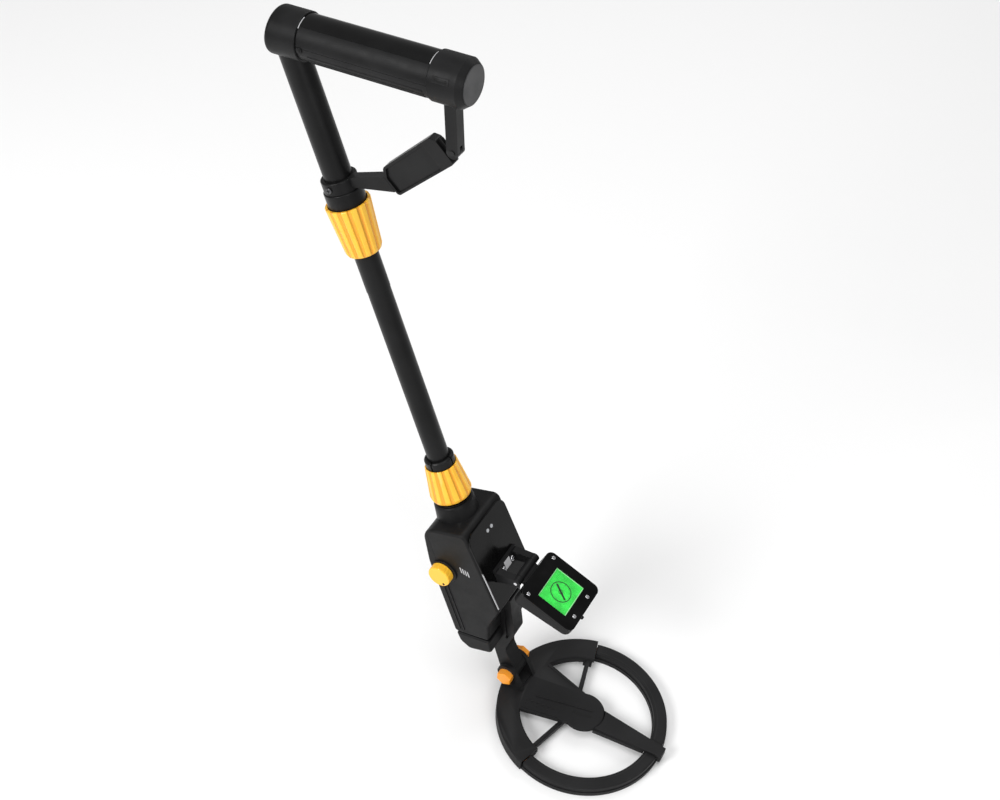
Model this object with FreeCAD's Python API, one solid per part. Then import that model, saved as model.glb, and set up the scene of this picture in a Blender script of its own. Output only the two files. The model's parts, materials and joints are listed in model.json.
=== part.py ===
import FreeCAD, Part
import math
import os
from FreeCAD import Placement, Rotation, Vector

# A hand-held metal detector, standing as it is held in use: the search coil lies flat on the ground and the
# shaft leans back. Millimetres. Origin: centre of the coil's underside. +X forwards, +Y to the user's left, +Z up.

# ---- clearances ----
GAP = 0.3            # between pieces that move past each other
SEAT = 0.1           # between fixed pieces that are assembled
RUN = 0.08           # radial clearance of a shaft or a tube that runs in a bore

# ---- search coil ----
RING_R = 76.0        # outer radius of the front ring
RING_WIDTH = 12.2    # radial width of the front ring
RING_TOP = 11.0      # height of the front ring
BASE_LIP = 0.7       # how far the base stands out past the front cover
BASE_WALL_TOP = 4.6  # height of the base ring's walls
SKIN = 1.5           # wall of the coil's shells
REAR_STEP = 2.0      # the rear cover stands this far out past the ring
REAR_WIDTH = 21.0    # radial width of the rear cover
REAR_TOP = 13.0
SHELF_LOW = 5.4      # underside of the base's shelf below the rear cover's inner part
REAR_HALF_ANGLE = 73.0   # the rear cover spans this much each side of straight back
HUB_R = 19.4
HUB_TOP = 13.0
HUB_LOW = 10.5
HUB_DISC_R = 12.0        # the base's own disc, under the hub
HUB_BOSS_R = 4.8
WEB_REAR_HALF = 31.2     # half width of the web where it meets the rear cover
WEB_HUB_HALF = 17.4      # half width of the web at the hub
WEB_THICK = 4.0
SPINE_HUB_HALF = 10.6    # half width of the front spine at the hub
SPINE_TIP_HALF = 5.3
SPINE_TOP = 14.2
SPINE_KEEL_LOW = 7.0
SPINE_OVERHANG = 3.5     # how far the spine's tab reaches past the ring
SPOKE_WIDTH = 4.0
SPOKE_TOP = 8.7
SPOKE_LOW = 4.2
SPOKE_FOOT = 8.0         # length of the block where a spoke meets the ring
SPOKE_AIM_X = -8.0       # the two thin spokes point at this place on the centre line
SPOKE_RING_ANGLE = 67.8  # a spoke meets the ring this far round from straight back
SPOKE_ROOT = 5.0         # the spokes start this far from the place they point at
WINDING_WIDTH = 6.4
WINDING_HEIGHT = 6.0

# ---- coil hinge ----
HINGE_INSET = 4.4        # hinge axis in front of the coil's rear edge
HINGE_HEIGHT = 27.3
EAR_R = 9.6
EAR_THICK = 3.7
STEM_HALF = 7.8          # half width of the stem between the ears
BOLT_R = 3.0
HEX_CORNER_R = 7.6       # orange knob and nut, centre to corner
HEX_THICK = 6.0
WASHER_THICK = 0.5
WASHER_R = 7.0

# ---- shaft ----
SHAFT_ANGLE = 68.15      # above the ground
POLE_R = 9.4             # sliding pole
TUBE_WALL = 1.12         # wall of the upper tube
POLE_STEP = 0.3          # the pole's lower stretch is this much smaller in radius
TUBE_WALL_POLE = 1.2
POLE_BOTTOM = 184.0      # measured along the shaft from the coil hinge
GRIP_ALONG_SHAFT = 617.8 # the shaft's axis crosses the grip's axis here
POLE_TOP_BELOW_GRIP = 92.8
UPPER_COLLAR_BELOW_GRIP = 174.6
POLE_STEP_BELOW = 33.2   # the step is this far below the upper collar
UPPER_COLLAR_LENGTH = 42.0
UPPER_COLLAR_WALL0 = 3.6     # the collar stands this far out from the upper tube at its foot
UPPER_COLLAR_WALL1 = 6.6     # and at its mouth
THREAD_WALL = 0.8
UPPER_SLEEVE_WALL = 3.9
UPPER_SLEEVE_RISE = 11.8     # the sleeve stands this far out of the collar
LOWER_COLLAR_BOTTOM = 205.4
LOWER_COLLAR_LENGTH = 33.8
LOWER_COLLAR_WALL0 = 5.4     # the collar stands this far out from the neck at its foot
LOWER_COLLAR_WALL1 = 1.5     # and at its top
NECK_WALL = 3.0
NECK_RISE = 7.8              # the neck stands this far out of the lower collar
FLUTES = 14
FLUTE_DEPTH = 0.55

# ---- grip, across the top of the shaft ----
GRIP_TILT = 6.2          # above the ground, rising forwards
GRIP_LENGTH = 154.7
GRIP_R = 15.7
GRIP_WALL = 2.6
CAP_STEP = 1.45          # the end caps stand this far out past the barrel
REAR_CAP_LENGTH = 28.0
REAR_CAP_LEAN = 7.5      # the rear cap's end leans forwards
REAR_CAP_TRIM = 2.2      # and crosses the grip's axis this far in
FRONT_CAP_LENGTH = 25.7
CAP_BEVEL = 4.4
CAP_LAP = 7.0            # how far the shells reach into the caps
TUBE_BELOW_GRIP = 10.0   # the upper tube ends this far below the grip's axis
SHAFT_IN_GRIP = 9.6      # the shaft's axis meets the grip's axis this far from its rear end
DISC_STEP = 3.75         # the end disc is this much smaller than its cap
DISC_PROUD = 0.5

# ---- brace under the grip ----
POST_AT = 139.0          # from the grip's rear end
POST_LENGTH = 38.0
POST_SIZE = 9.0
KNEE_R = 4.6
PIN_R = 2.0
PADDLE_LENGTH = 62.0
PADDLE_WIDTH = 24.0
PADDLE_THICK = 8.0
PADDLE_FLOOR = 5.0
PADDLE_RIM = 1.8
PADDLE_ANGLE = 27.5      # from square to the shaft
ARM_ABOVE_COLLAR = 60.3  # the arm's middle, above the upper collar's foot
ARM_HEIGHT = 8.6
ARM_THICK = 8.0
CLAMP_WALL = 3.0
CLAMP_LENGTH = 9.6

# ---- control box ----
BOX_HALF = 29.0          # half width
BOX_BACK = -24.4         # back face, from the shaft's axis
BOX_TOP = 188.0
BOX_BOTTOM = 66.0
PANEL_TOP_U = 26.4
PANEL_TOP_Z = 181.0
PANEL_LOW_U = 34.2
PANEL_LOW_Z = 104.0
PANEL_THICK = 1.8
BOX_WALL = 2.2
BOX_EDGE = 2.5           # rounding along the two sides
PARTING_U = -15.0        # back cover behind this plane
FOOT_BOTTOM = 46.0
KNOB_R = 10.2
KNOB_THICK = 7.0
KNOB_U = -11.0
KNOB_Z = 142.2
KNOB_SHAFT_R = 3.0
POT_R = 8.0

# ---- display ----
DISPLAY_TILT = 19.5      # face leans forwards from level
DISPLAY_LENGTH = 53.8
DISPLAY_WIDTH = 53.0
DISPLAY_CORNER = 6.0
DISPLAY_THICK_REAR = 16.0
DISPLAY_THICK_FRONT = 9.0
BEZEL_THICK = 2.6
SCREEN_LENGTH = 28.4
SCREEN_WIDTH = 34.0
KNUCKLE_SPLIT = 10.5     # the bracket's knuckles are outside this half width, the display's inside
LUG_WIDTH = 6.5          # width of each of the bracket's lugs
DISPLAY_HINGE_U = 50.5
DISPLAY_HINGE_Z = 131.0
DISPLAY_BARREL_R = 4.0
DISPLAY_PIN_R = 1.5
DISPLAY_EDGE_FROM_HINGE = 6.2
DISPLAY_FACE_ABOVE_HINGE = 7.8

# ---- places that follow from the sizes above ----
POLE_TOP = GRIP_ALONG_SHAFT - POLE_TOP_BELOW_GRIP
UPPER_COLLAR_BOTTOM = GRIP_ALONG_SHAFT - UPPER_COLLAR_BELOW_GRIP
POLE_STEP_AT = UPPER_COLLAR_BOTTOM - POLE_STEP_BELOW
ARM_AT = UPPER_COLLAR_BOTTOM + ARM_ABOVE_COLLAR
REAR_R = RING_R + REAR_STEP
REAR_INNER_R = REAR_R - REAR_WIDTH
TUBE_R = POLE_R + RUN + TUBE_WALL
THREAD_R = TUBE_R + THREAD_WALL
UPPER_SLEEVE_R = TUBE_R + UPPER_SLEEVE_WALL
UPPER_COLLAR_R0 = TUBE_R + UPPER_COLLAR_WALL0
UPPER_COLLAR_R1 = TUBE_R + UPPER_COLLAR_WALL1
CLAMP_R = TUBE_R + CLAMP_WALL
NECK_R = POLE_R + NECK_WALL
LOWER_COLLAR_R0 = NECK_R + LOWER_COLLAR_WALL0
LOWER_COLLAR_R1 = NECK_R + LOWER_COLLAR_WALL1
CAP_R = GRIP_R + CAP_STEP
DISC_R = CAP_R - DISC_STEP
SHELF_TOP = SHELF_LOW + SKIN
RING_INNER_R = RING_R - RING_WIDTH
HINGE_X = HINGE_INSET - REAR_R
HINGE = Vector(HINGE_X, 0, HINGE_HEIGHT)
TUBE_BORE_R = POLE_R + RUN
TUBE_TOP = GRIP_ALONG_SHAFT - TUBE_BELOW_GRIP
SLEEVE_BOTTOM = UPPER_COLLAR_BOTTOM + 7.0
TUBE_BOTTOM = UPPER_COLLAR_BOTTOM + 18.0
SLEEVE_TOP = UPPER_COLLAR_BOTTOM + UPPER_COLLAR_LENGTH + UPPER_SLEEVE_RISE
NECK_TOP = LOWER_COLLAR_BOTTOM + LOWER_COLLAR_LENGTH + NECK_RISE
BASE_R = RING_R + BASE_LIP / 2
BASE_INNER_R = RING_INNER_R - BASE_LIP / 2
EAR_INNER = STEM_HALF + GAP
EAR_OUTER = EAR_INNER + EAR_THICK
HEX_INNER = EAR_OUTER + WASHER_THICK + 0.1
FAR = 400.0

# frames: the shaft's (X forwards and up, Z along the shaft), the grip's (X along the grip) and the display's
SHAFT_TURN = Rotation(Vector(0, 1, 0), SHAFT_ANGLE - 90.0)
SHAFT = Placement(HINGE, SHAFT_TURN)
AXIS = SHAFT_TURN.multVec(Vector(0, 0, 1))
GRIP_TURN = Rotation(Vector(0, 1, 0), -GRIP_TILT)
GRIP_AXIS = GRIP_TURN.multVec(Vector(1, 0, 0))
GRIP_START = HINGE + AXIS * GRIP_ALONG_SHAFT - GRIP_AXIS * SHAFT_IN_GRIP
GRIP = Placement(GRIP_START, GRIP_TURN)
DISPLAY_HINGE = SHAFT.multVec(Vector(DISPLAY_HINGE_U, 0, DISPLAY_HINGE_Z))
DISPLAY = Placement(DISPLAY_HINGE, Rotation(Vector(0, 1, 0), DISPLAY_TILT))


# ---- shape helpers ----
def placed(shape, placement):
    moved = shape.copy()
    moved.Placement = placement.multiply(moved.Placement)
    return moved


def block(low, high):
    size = Vector(*high) - Vector(*low)
    return Part.makeBox(size.x, size.y, size.z, Vector(*low))


def rod(radius, start, end):
    start, end = Vector(*start), Vector(*end)
    return Part.makeCylinder(radius, (end - start).Length, start, end - start)


def cross_rod(radius, x, z, y0, y1):
    return rod(radius, (x, y0, z), (x, y1, z))


def ring(outer, inner, z0, z1):
    return rod(outer, (0, 0, z0), (0, 0, z1)).cut(rod(inner, (0, 0, z0 - 1), (0, 0, z1 + 1)))


def turned(points):
    """A solid of revolution about Z from (radius, height) points."""
    loop = [Vector(r, 0, z) for r, z in points]
    wire = Part.makePolygon(loop + [loop[0]])
    return Part.Face(wire).revolve(Vector(0, 0, 0), Vector(0, 0, 1), 360)


def rounded_wire(points, y=0.0):
    """A closed outline in the XZ plane; each point is (x, z) or (x, z, corner radius)."""
    count = len(points)
    corners = []
    for i in range(count):
        here = Vector(points[i][0], y, points[i][1])
        radius = points[i][2] if len(points[i]) > 2 else 0.0
        before = Vector(points[i - 1][0], y, points[i - 1][1])
        after = Vector(points[(i + 1) % count][0], y, points[(i + 1) % count][1])
        if radius <= 0.0:
            corners.append((here, None, here))
            continue
        back, ahead = (before - here).normalize(), (after - here).normalize()
        half = math.acos(max(-1.0, min(1.0, back.dot(ahead)))) / 2
        reach = radius / math.tan(half)
        middle = (back + ahead).normalize()
        top = here + middle * (radius / math.sin(half) - radius)
        corners.append((here + back * reach, top, here + ahead * reach))
    edges = []
    for i in range(count):
        first, top, last = corners[i]
        if top is not None:
            edges.append(Part.Arc(first, top, last).toShape())
        following = corners[(i + 1) % count][0]
        if last.distanceToPoint(following) > 1e-4:
            edges.append(Part.LineSegment(last, following).toShape())
    return Part.Wire(edges)


def prism(points, y0, y1):
    """The outline pushed along Y from y0 to y1."""
    return Part.Face(rounded_wire(points, y0)).extrude(Vector(0, y1 - y0, 0))


def plate(points, z0, z1):
    """An outline of (x, y[, radius]) points pushed along Z."""
    solid = prism(points, 0.0, z1 - z0)
    return placed(solid, Placement(Vector(0, 0, z0), Rotation(Vector(1, 0, 0), 90))).mirror(
        Vector(0, 0, 0), Vector(0, 1, 0))


def rounded_block(x0, x1, half, z0, z1, corner):
    return plate([(x0, -half, corner), (x1, -half, corner), (x1, half, corner), (x0, half, corner)], z0, z1)


def soften(solid, radius, pick):
    edges = [edge for edge in solid.Edges if pick(edge)]
    return solid.makeFillet(radius, edges) if edges else solid


def at_height(z, tolerance=0.01):
    return lambda edge: abs(edge.BoundBox.ZMin - z) < tolerance and abs(edge.BoundBox.ZMax - z) < tolerance


def on_side(y, tolerance=0.01):
    return lambda edge: abs(edge.BoundBox.YMin - y) < tolerance and abs(edge.BoundBox.YMax - y) < tolerance


def screw(head_r, head_thick, shank_r, length, slot=True):
    """A pan-head screw, head up, seated at z = 0, its shank downwards."""
    head = soften(rod(head_r, (0, 0, 0), (0, 0, head_thick)), head_thick * 0.45, at_height(head_thick))
    body = head.fuse(rod(shank_r, (0, 0, -length), (0, 0, 0)))
    if slot:
        bar = head_r * 0.62
        cross = block((-bar, -0.3, head_thick * 0.4), (bar, 0.3, head_thick + 1))
        cross = cross.fuse(block((-0.3, -bar, head_thick * 0.4), (0.3, bar, head_thick + 1)))
        body = body.cut(cross)
    return body.removeSplitter()


def sector(half_angle, radius, z0, z1, towards_front):
    """A wedge of a cylinder about Z, used to split the coil's ring."""
    start = -half_angle if towards_front else 180.0 - half_angle
    wedge = Part.makeCylinder(radius, z1 - z0, Vector(0, 0, z0), Vector(0, 0, 1), 2 * half_angle)
    return placed(wedge, Placement(Vector(0, 0, 0), Rotation(Vector(0, 0, 1), start)))


# ---- search coil ----
def coil_base():
    """Lower shell: a channel that holds the winding, a raised shelf at the rear, two spokes and the hub's disc."""
    floor = ring(BASE_R, BASE_INNER_R, 0, SKIN)
    outer_wall = ring(BASE_R, BASE_R - SKIN, 0, BASE_WALL_TOP)
    inner_wall = ring(BASE_INNER_R + SKIN, BASE_INNER_R, 0, BASE_WALL_TOP)
    body = floor.fuse([outer_wall, inner_wall])
    shelf = ring(BASE_INNER_R + SKIN, REAR_INNER_R, SHELF_LOW, SHELF_TOP)
    riser = ring(BASE_INNER_R + SKIN, BASE_INNER_R, 0, SHELF_TOP)
    rear = sector(REAR_HALF_ANGLE - 1.5, REAR_R, 0, SHELF_TOP + 1, False)
    body = body.fuse(shelf.fuse(riser).common(rear))
    hub = rod(HUB_DISC_R, (0, 0, SPOKE_LOW + 2), (0, 0, HUB_LOW - 2 * SEAT))
    body = body.fuse(hub.fuse(rod(HUB_BOSS_R, (0, 0, 0), (0, 0, SPOKE_LOW + 3))))
    for side in (1, -1):
        body = body.fuse(spoke(side, 0.0).cut(ring(RING_R, BASE_INNER_R + SKIN, -1, 20)))
    for x, y in coil_screw_places():
        body = body.cut(rod(1.4, (x, y, 0), (x, y, 9)))
    return body.removeSplitter()


def spoke(side, extra):
    """One thin spoke from the hub out to the ring, with a wider block where it meets the ring."""
    angle = math.radians(SPOKE_RING_ANGLE)
    start = Vector(SPOKE_AIM_X, 0, 0)
    end = Vector(-BASE_INNER_R * math.cos(angle), side * (BASE_INNER_R * math.sin(angle) + 1.0), 0)
    along = (end - start).normalize()
    length = (end - start).Length
    half = SPOKE_WIDTH / 2 + extra
    bar = block((SPOKE_ROOT, -half, SPOKE_LOW), (length, half, SPOKE_TOP + extra))
    foot_half = SPOKE_WIDTH + extra
    low = Vector(length - SPOKE_FOOT - extra, -foot_half, 0)
    bar = bar.fuse(block(tuple(low), (length, foot_half, SPOKE_TOP + extra)))
    turn = Rotation(Vector(0, 0, 1), math.degrees(math.atan2(along.y, along.x)))
    return placed(bar, Placement(start, turn))


def coil_winding():
    middle = (BASE_R + BASE_INNER_R) / 2
    half = WINDING_WIDTH / 2
    solid = ring(middle + half, middle - half, SKIN + SEAT, SKIN + SEAT + WINDING_HEIGHT)
    return solid


def front_cover():
    """Upper shell of the front ring, an upturned channel over the winding."""
    outer = RING_R - BASE_LIP / 2
    inner = RING_INNER_R + BASE_LIP / 2
    low = BASE_WALL_TOP + SEAT
    solid = ring(outer, inner, low, RING_TOP)
    solid = soften(solid, 1.4, at_height(RING_TOP))
    solid = solid.cut(ring(outer - SKIN, inner + SKIN, low - 1, RING_TOP - SKIN))
    return solid.common(sector(180.0 - REAR_HALF_ANGLE - 0.3, REAR_R, 0, 30, True)).removeSplitter()


def web_outline(shrink=0.0):
    rear_x = -REAR_INNER_R - SKIN - 3.0
    hub_x = -math.sqrt(HUB_R ** 2 - WEB_HUB_HALF ** 2) + 2.0
    return [(rear_x, -WEB_REAR_HALF + shrink), (hub_x, -WEB_HUB_HALF + shrink),
            (hub_x, WEB_HUB_HALF - shrink), (rear_x, WEB_REAR_HALF - shrink)]


def coil_cover():
    """Rear cover: the wide C-shaped channel, the tapered web, the hub and the two hinge ears, in one piece."""
    rim = ring(REAR_R, REAR_INNER_R, 0.6, REAR_TOP)
    rim = soften(rim, 1.6, at_height(REAR_TOP))
    rim = rim.cut(ring(REAR_R - SKIN, REAR_INNER_R + SKIN, 0, REAR_TOP - SKIN))
    rim = rim.cut(ring(REAR_INNER_R + SKIN + 1, REAR_INNER_R - 1, 0, SHELF_TOP + SEAT))
    rim = rim.common(sector(REAR_HALF_ANGLE, REAR_R + 1, 0, 30, False))
    web = plate(web_outline(), REAR_TOP - WEB_THICK, REAR_TOP)
    hub = rod(HUB_R, (0, 0, HUB_LOW), (0, 0, HUB_TOP))
    hub = soften(hub, 1.6, at_height(HUB_TOP))
    body = rim.fuse([web, hub]).cut(rod(HUB_DISC_R + GAP, (0, 0, 0), (0, 0, HUB_LOW)))
    for side in (1, -1):
        body = body.fuse(ear(side))
        body = body.cut(spoke(side, SEAT))
    block_low = block((HINGE_X - 6.0, -EAR_OUTER, REAR_TOP - 1.0), (HINGE_X + 15.0, EAR_OUTER, REAR_TOP + 2.2))
    body = body.fuse(block_low)
    body = body.cut(cross_rod(EAR_R + GAP, HINGE_X, HINGE_HEIGHT, -EAR_INNER, EAR_INNER))
    for x, y in coil_screw_places():
        body = body.fuse(rod(COIL_BOSS_R, (x, y, SHELF_TOP + SEAT), (x, y, REAR_TOP - 0.5)))
        body = body.cut(rod(1.25, (x, y, 0), (x, y, REAR_TOP - 2)))
    return body.removeSplitter()


def ear(side):
    """One of the two upright ears that carry the hinge bolt."""
    low = REAR_TOP - 0.5
    y0, y1 = (EAR_INNER, EAR_OUTER) if side > 0 else (-EAR_OUTER, -EAR_INNER)
    foot = prism([(HINGE_X - 6.0, low), (HINGE_X + 18.0, low), (HINGE_X + 8.6, HINGE_HEIGHT + 4.2),
                  (HINGE_X - EAR_R + 0.1, HINGE_HEIGHT)], y0, y1)
    solid = foot.fuse(cross_rod(EAR_R, HINGE_X, HINGE_HEIGHT, y0, y1))
    return solid.cut(cross_rod(BOLT_R + RUN, HINGE_X, HINGE_HEIGHT, y0 - 1, y1 + 1))


def spine_points(extra, tip_x):
    root_x = HUB_R - 6.0
    return [(root_x, -SPINE_HUB_HALF - extra), (tip_x, -SPINE_TIP_HALF - extra), (tip_x, SPINE_TIP_HALF + extra),
            (root_x, SPINE_HUB_HALF + extra)]


def front_spine():
    """The tapered spine from the hub over the front ring, with a wider flange along its foot."""
    tip = RING_R + SPINE_OVERHANG
    top = plate(spine_points(0.0, tip), RING_TOP + SEAT, SPINE_TOP)
    top = soften(top, 1.0, at_height(SPINE_TOP))
    inner_tip = RING_INNER_R - BASE_LIP
    keel = plate(spine_points(1.4, inner_tip), SPINE_KEEL_LOW, RING_TOP + SEAT)
    keel = keel.cut(plate(spine_points(-1.6, inner_tip - 2.0), 0.0, RING_TOP + SEAT - 1.0))
    tab = block((RING_R + BASE_LIP, -SPINE_TIP_HALF, 5.0), (tip, SPINE_TIP_HALF, RING_TOP + SEAT))
    solid = top.fuse([keel, tab])
    return solid.cut(rod(HUB_R, (0, 0, 0), (0, 0, SPINE_TOP + 1))).removeSplitter()


COIL_BOSS_R = 3.4


def coil_screw_places():
    radius = (REAR_INNER_R + BASE_INNER_R) / 2 + 0.4
    angles = [math.radians(a) for a in (125, 155, 205, 235)]
    return [(radius * math.cos(a), radius * math.sin(a)) for a in angles]


def coil_screws():
    """Four screws up through the base's shelf into the rear cover."""
    group = []
    upwards = Rotation(Vector(1, 0, 0), 180)
    for x, y in coil_screw_places():
        group.append(placed(screw(2.2, 1.2, 1.2, 5.4), Placement(Vector(x, y, SHELF_LOW - 0.05), upwards)))
    return Part.makeCompound(group)


def hexagon(y0, y1):
    points = []
    for k in range(6):
        angle = math.radians(60 * k + 30)
        points.append((HINGE_X + HEX_CORNER_R * math.cos(angle), HINGE_HEIGHT + HEX_CORNER_R * math.sin(angle), 0.7))
    return prism(points, y0, y1)


def hinge_knob():
    """Orange hexagonal tightening knob on the right side."""
    outer = -HEX_INNER - HEX_THICK
    solid = hexagon(outer, -HEX_INNER)
    solid = soften(solid, 0.9, on_side(outer))
    return solid.cut(cross_rod(BOLT_R + SEAT / 2, HINGE_X, HINGE_HEIGHT, outer + 1.8, -HEX_INNER + 1))


def hinge_nut():
    """Orange hexagonal nut on the left side."""
    outer = HEX_INNER + HEX_THICK
    solid = hexagon(HEX_INNER, outer)
    solid = soften(solid, 0.9, on_side(outer))
    return solid.cut(cross_rod(BOLT_R + RUN, HINGE_X, HINGE_HEIGHT, HEX_INNER - 1, outer - 1.8))


def hinge_bolt():
    return cross_rod(BOLT_R, HINGE_X, HINGE_HEIGHT, -HEX_INNER - HEX_THICK + 2.0, HEX_INNER + HEX_THICK - 2.2)


def hinge_washers():
    group = []
    for y0 in (-EAR_OUTER - WASHER_THICK - 0.05, EAR_OUTER + 0.05):
        disc = cross_rod(WASHER_R, HINGE_X, HINGE_HEIGHT, y0, y0 + WASHER_THICK)
        group.append(disc.cut(cross_rod(BOLT_R + RUN, HINGE_X, HINGE_HEIGHT, y0 - 1, y0 + 2)))
    return Part.makeCompound(group)


# ---- shaft ----
def pole():
    """The sliding pole, a tube whose lower stretch is slightly thinner."""
    bore = POLE_R - POLE_STEP - TUBE_WALL_POLE
    upper = rod(POLE_R, (0, 0, POLE_STEP_AT), (0, 0, POLE_TOP))
    lower = rod(POLE_R - POLE_STEP, (0, 0, POLE_BOTTOM), (0, 0, POLE_STEP_AT))
    solid = upper.fuse(lower).cut(rod(bore, (0, 0, POLE_BOTTOM - 1), (0, 0, POLE_TOP + 1)))
    return placed(solid.removeSplitter(), SHAFT)


def pole_bush():
    """Plug pressed in the pole's upper end."""
    bore = POLE_R - POLE_STEP - TUBE_WALL_POLE
    solid = rod(bore - 0.05, (0, 0, POLE_TOP - 14), (0, 0, POLE_TOP))
    solid = solid.fuse(rod(POLE_R - 0.2, (0, 0, POLE_TOP + 0.05), (0, 0, POLE_TOP + 2.5)))
    solid = solid.fuse(rod(bore - 0.05, (0, 0, POLE_TOP - 1), (0, 0, POLE_TOP + 1)))
    return placed(solid.removeSplitter(), SHAFT)


def upper_tube():
    solid = ring(TUBE_R, TUBE_BORE_R, TUBE_BOTTOM, TUBE_TOP)
    return placed(solid, SHAFT)


def upper_sleeve():
    """Threaded sleeve on the tube's lower end, with four gripping fingers round the pole."""
    solid = turned([(TUBE_BORE_R, SLEEVE_BOTTOM), (THREAD_R - 1.0, SLEEVE_BOTTOM), (THREAD_R, TUBE_BOTTOM - 3),
                    (THREAD_R, SLEEVE_TOP - 17), (UPPER_SLEEVE_R, SLEEVE_TOP - 14), (UPPER_SLEEVE_R, SLEEVE_TOP),
                    (TUBE_R + SEAT, SLEEVE_TOP), (TUBE_R + SEAT, TUBE_BOTTOM - SEAT), (TUBE_BORE_R, TUBE_BOTTOM - SEAT)])
    solid = soften(solid, 1.0, lambda e: at_height(SLEEVE_TOP)(e) and e.BoundBox.XLength > 2 * TUBE_R + 2)
    slot = block((-0.6, -FAR, SLEEVE_BOTTOM - 1), (0.6, FAR, TUBE_BOTTOM - 2))
    solid = solid.cut(slot.fuse(placed(slot, Placement(Vector(), Rotation(Vector(0, 0, 1), 90)))))
    return placed(solid, SHAFT)


def fluted(solid, z0, z1, r0, r1):
    """Shallow flutes down a tapered collar, following its outer wall."""
    width = 2 * math.pi * max(r0, r1) / FLUTES
    cutter_r = width * 0.62
    slope = (r1 - r0) / (z1 - z0)
    low, high = z0 - 3.0, z1 + 3.0
    low_r = r0 + slope * (low - z0) + cutter_r - FLUTE_DEPTH
    high_r = r0 + slope * (high - z0) + cutter_r - FLUTE_DEPTH
    cutters = []
    for k in range(FLUTES):
        turn = Rotation(Vector(0, 0, 1), 360.0 / FLUTES * k)
        cutters.append(placed(rod(cutter_r, (low_r, 0, low), (high_r, 0, high)), Placement(Vector(), turn)))
    return solid.cut(cutters)


def upper_collar():
    """Amber twist collar, a tapered cup open towards the grip."""
    z0 = UPPER_COLLAR_BOTTOM
    z1 = z0 + UPPER_COLLAR_LENGTH
    outer = turned([(0, z0), (UPPER_COLLAR_R0 - 3.4, z0), (UPPER_COLLAR_R0 - 1.0, z0 + 1.1),
                    (UPPER_COLLAR_R0, z0 + 3.6), (UPPER_COLLAR_R1, z1 - 0.6), (UPPER_COLLAR_R1 - 0.5, z1), (0, z1)])
    outer = fluted(outer, z0 + 3.6, z1, UPPER_COLLAR_R0, UPPER_COLLAR_R1)
    throat = POLE_R + GAP
    seat_r = THREAD_R + GAP
    mouth_r = UPPER_SLEEVE_R + GAP
    hollow = turned([(0, z0 - 1), (throat, z0 - 1), (throat, SLEEVE_BOTTOM - 1.5), (seat_r - 1.0, SLEEVE_BOTTOM - 0.8),
                     (seat_r, TUBE_BOTTOM - 4), (seat_r, SLEEVE_TOP - 22), (mouth_r, SLEEVE_TOP - 17),
                     (mouth_r + 0.4, z1 + 1), (0, z1 + 1)])
    return placed(outer.cut(hollow), SHAFT)


def lower_collar():
    """Amber twist collar over the neck of the control box."""
    z0 = LOWER_COLLAR_BOTTOM
    z1 = z0 + LOWER_COLLAR_LENGTH
    outer = turned([(0, z0), (LOWER_COLLAR_R0 - 3.6, z0), (LOWER_COLLAR_R0 - 0.9, z0 + 1.6), (LOWER_COLLAR_R0, z0 + 4.4),
                    (LOWER_COLLAR_R1, z1 - 0.5), (LOWER_COLLAR_R1 - 0.4, z1), (0, z1)])
    outer = fluted(outer, z0 + 4.4, z1, LOWER_COLLAR_R0, LOWER_COLLAR_R1)
    return placed(outer.cut(rod(NECK_R + GAP, (0, 0, z0 - 1), (0, 0, z1 + 1))), SHAFT)


def neck():
    """Socket for the pole: a flange inside the box and a slotted neck through the lower collar."""
    bore = POLE_R + RUN
    floor = POLE_BOTTOM - 4.0
    flange_z = LOWER_COLLAR_BOTTOM - 2.2
    solid = turned([(0, floor), (NECK_R + 2.4, floor), (NECK_R + 2.4, flange_z), (NECK_R, flange_z + 1.0),
                    (NECK_R, NECK_TOP - 1.2), (NECK_R - 1.2, NECK_TOP), (bore, NECK_TOP), (bore, POLE_BOTTOM - 0.5),
                    (0, POLE_BOTTOM - 0.5)])
    slot = block((-0.6, -FAR, NECK_TOP - 22), (0.6, FAR, NECK_TOP + 1))
    solid = solid.cut(slot.fuse(placed(slot, Placement(Vector(), Rotation(Vector(0, 0, 1), 90)))))
    return placed(solid, SHAFT)


# ---- grip: X along the grip, from its rear end ----
def along_x(radius, x0, x1):
    return rod(radius, (x0, 0, 0), (x1, 0, 0))


def in_grip_frame(shape):
    """Takes a shape from the model's frame into the grip's."""
    return placed(shape, GRIP.inverse())


def tube_hole(clearance):
    shape = rod(TUBE_R + clearance, (0, 0, TUBE_BOTTOM), (0, 0, TUBE_TOP + clearance))
    return in_grip_frame(placed(shape, SHAFT))


def x_turned(points):
    """A solid of revolution about the grip's axis from (x, radius) points."""
    loop = [Vector(x, 0, r) for x, r in points]
    wire = Part.makePolygon(loop + [loop[0]])
    return Part.Face(wire).revolve(Vector(0, 0, 0), Vector(1, 0, 0), 360)


def rear_cap():
    behind = block((-FAR, -FAR, -FAR), (0, FAR, FAR))
    end = Placement(Vector(REAR_CAP_TRIM, 0, 0), Rotation(Vector(0, 1, 0), REAR_CAP_LEAN))
    solid = along_x(CAP_R, -CAP_R, REAR_CAP_LENGTH).cut(placed(behind, end))
    solid = solid.makeFillet(3.5, [e for e in solid.Edges if e.BoundBox.XMax < REAR_CAP_LENGTH / 2])
    solid = solid.makeFillet(0.8, [e for e in solid.Edges if abs(e.BoundBox.XMin - REAR_CAP_LENGTH) < 0.01])
    solid = solid.cut(along_x(GRIP_R - 0.6 + SEAT, REAR_CAP_LENGTH - CAP_LAP - SEAT, REAR_CAP_LENGTH + 1))
    solid = solid.cut(tube_hole(SEAT))
    return placed(solid, GRIP)


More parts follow.
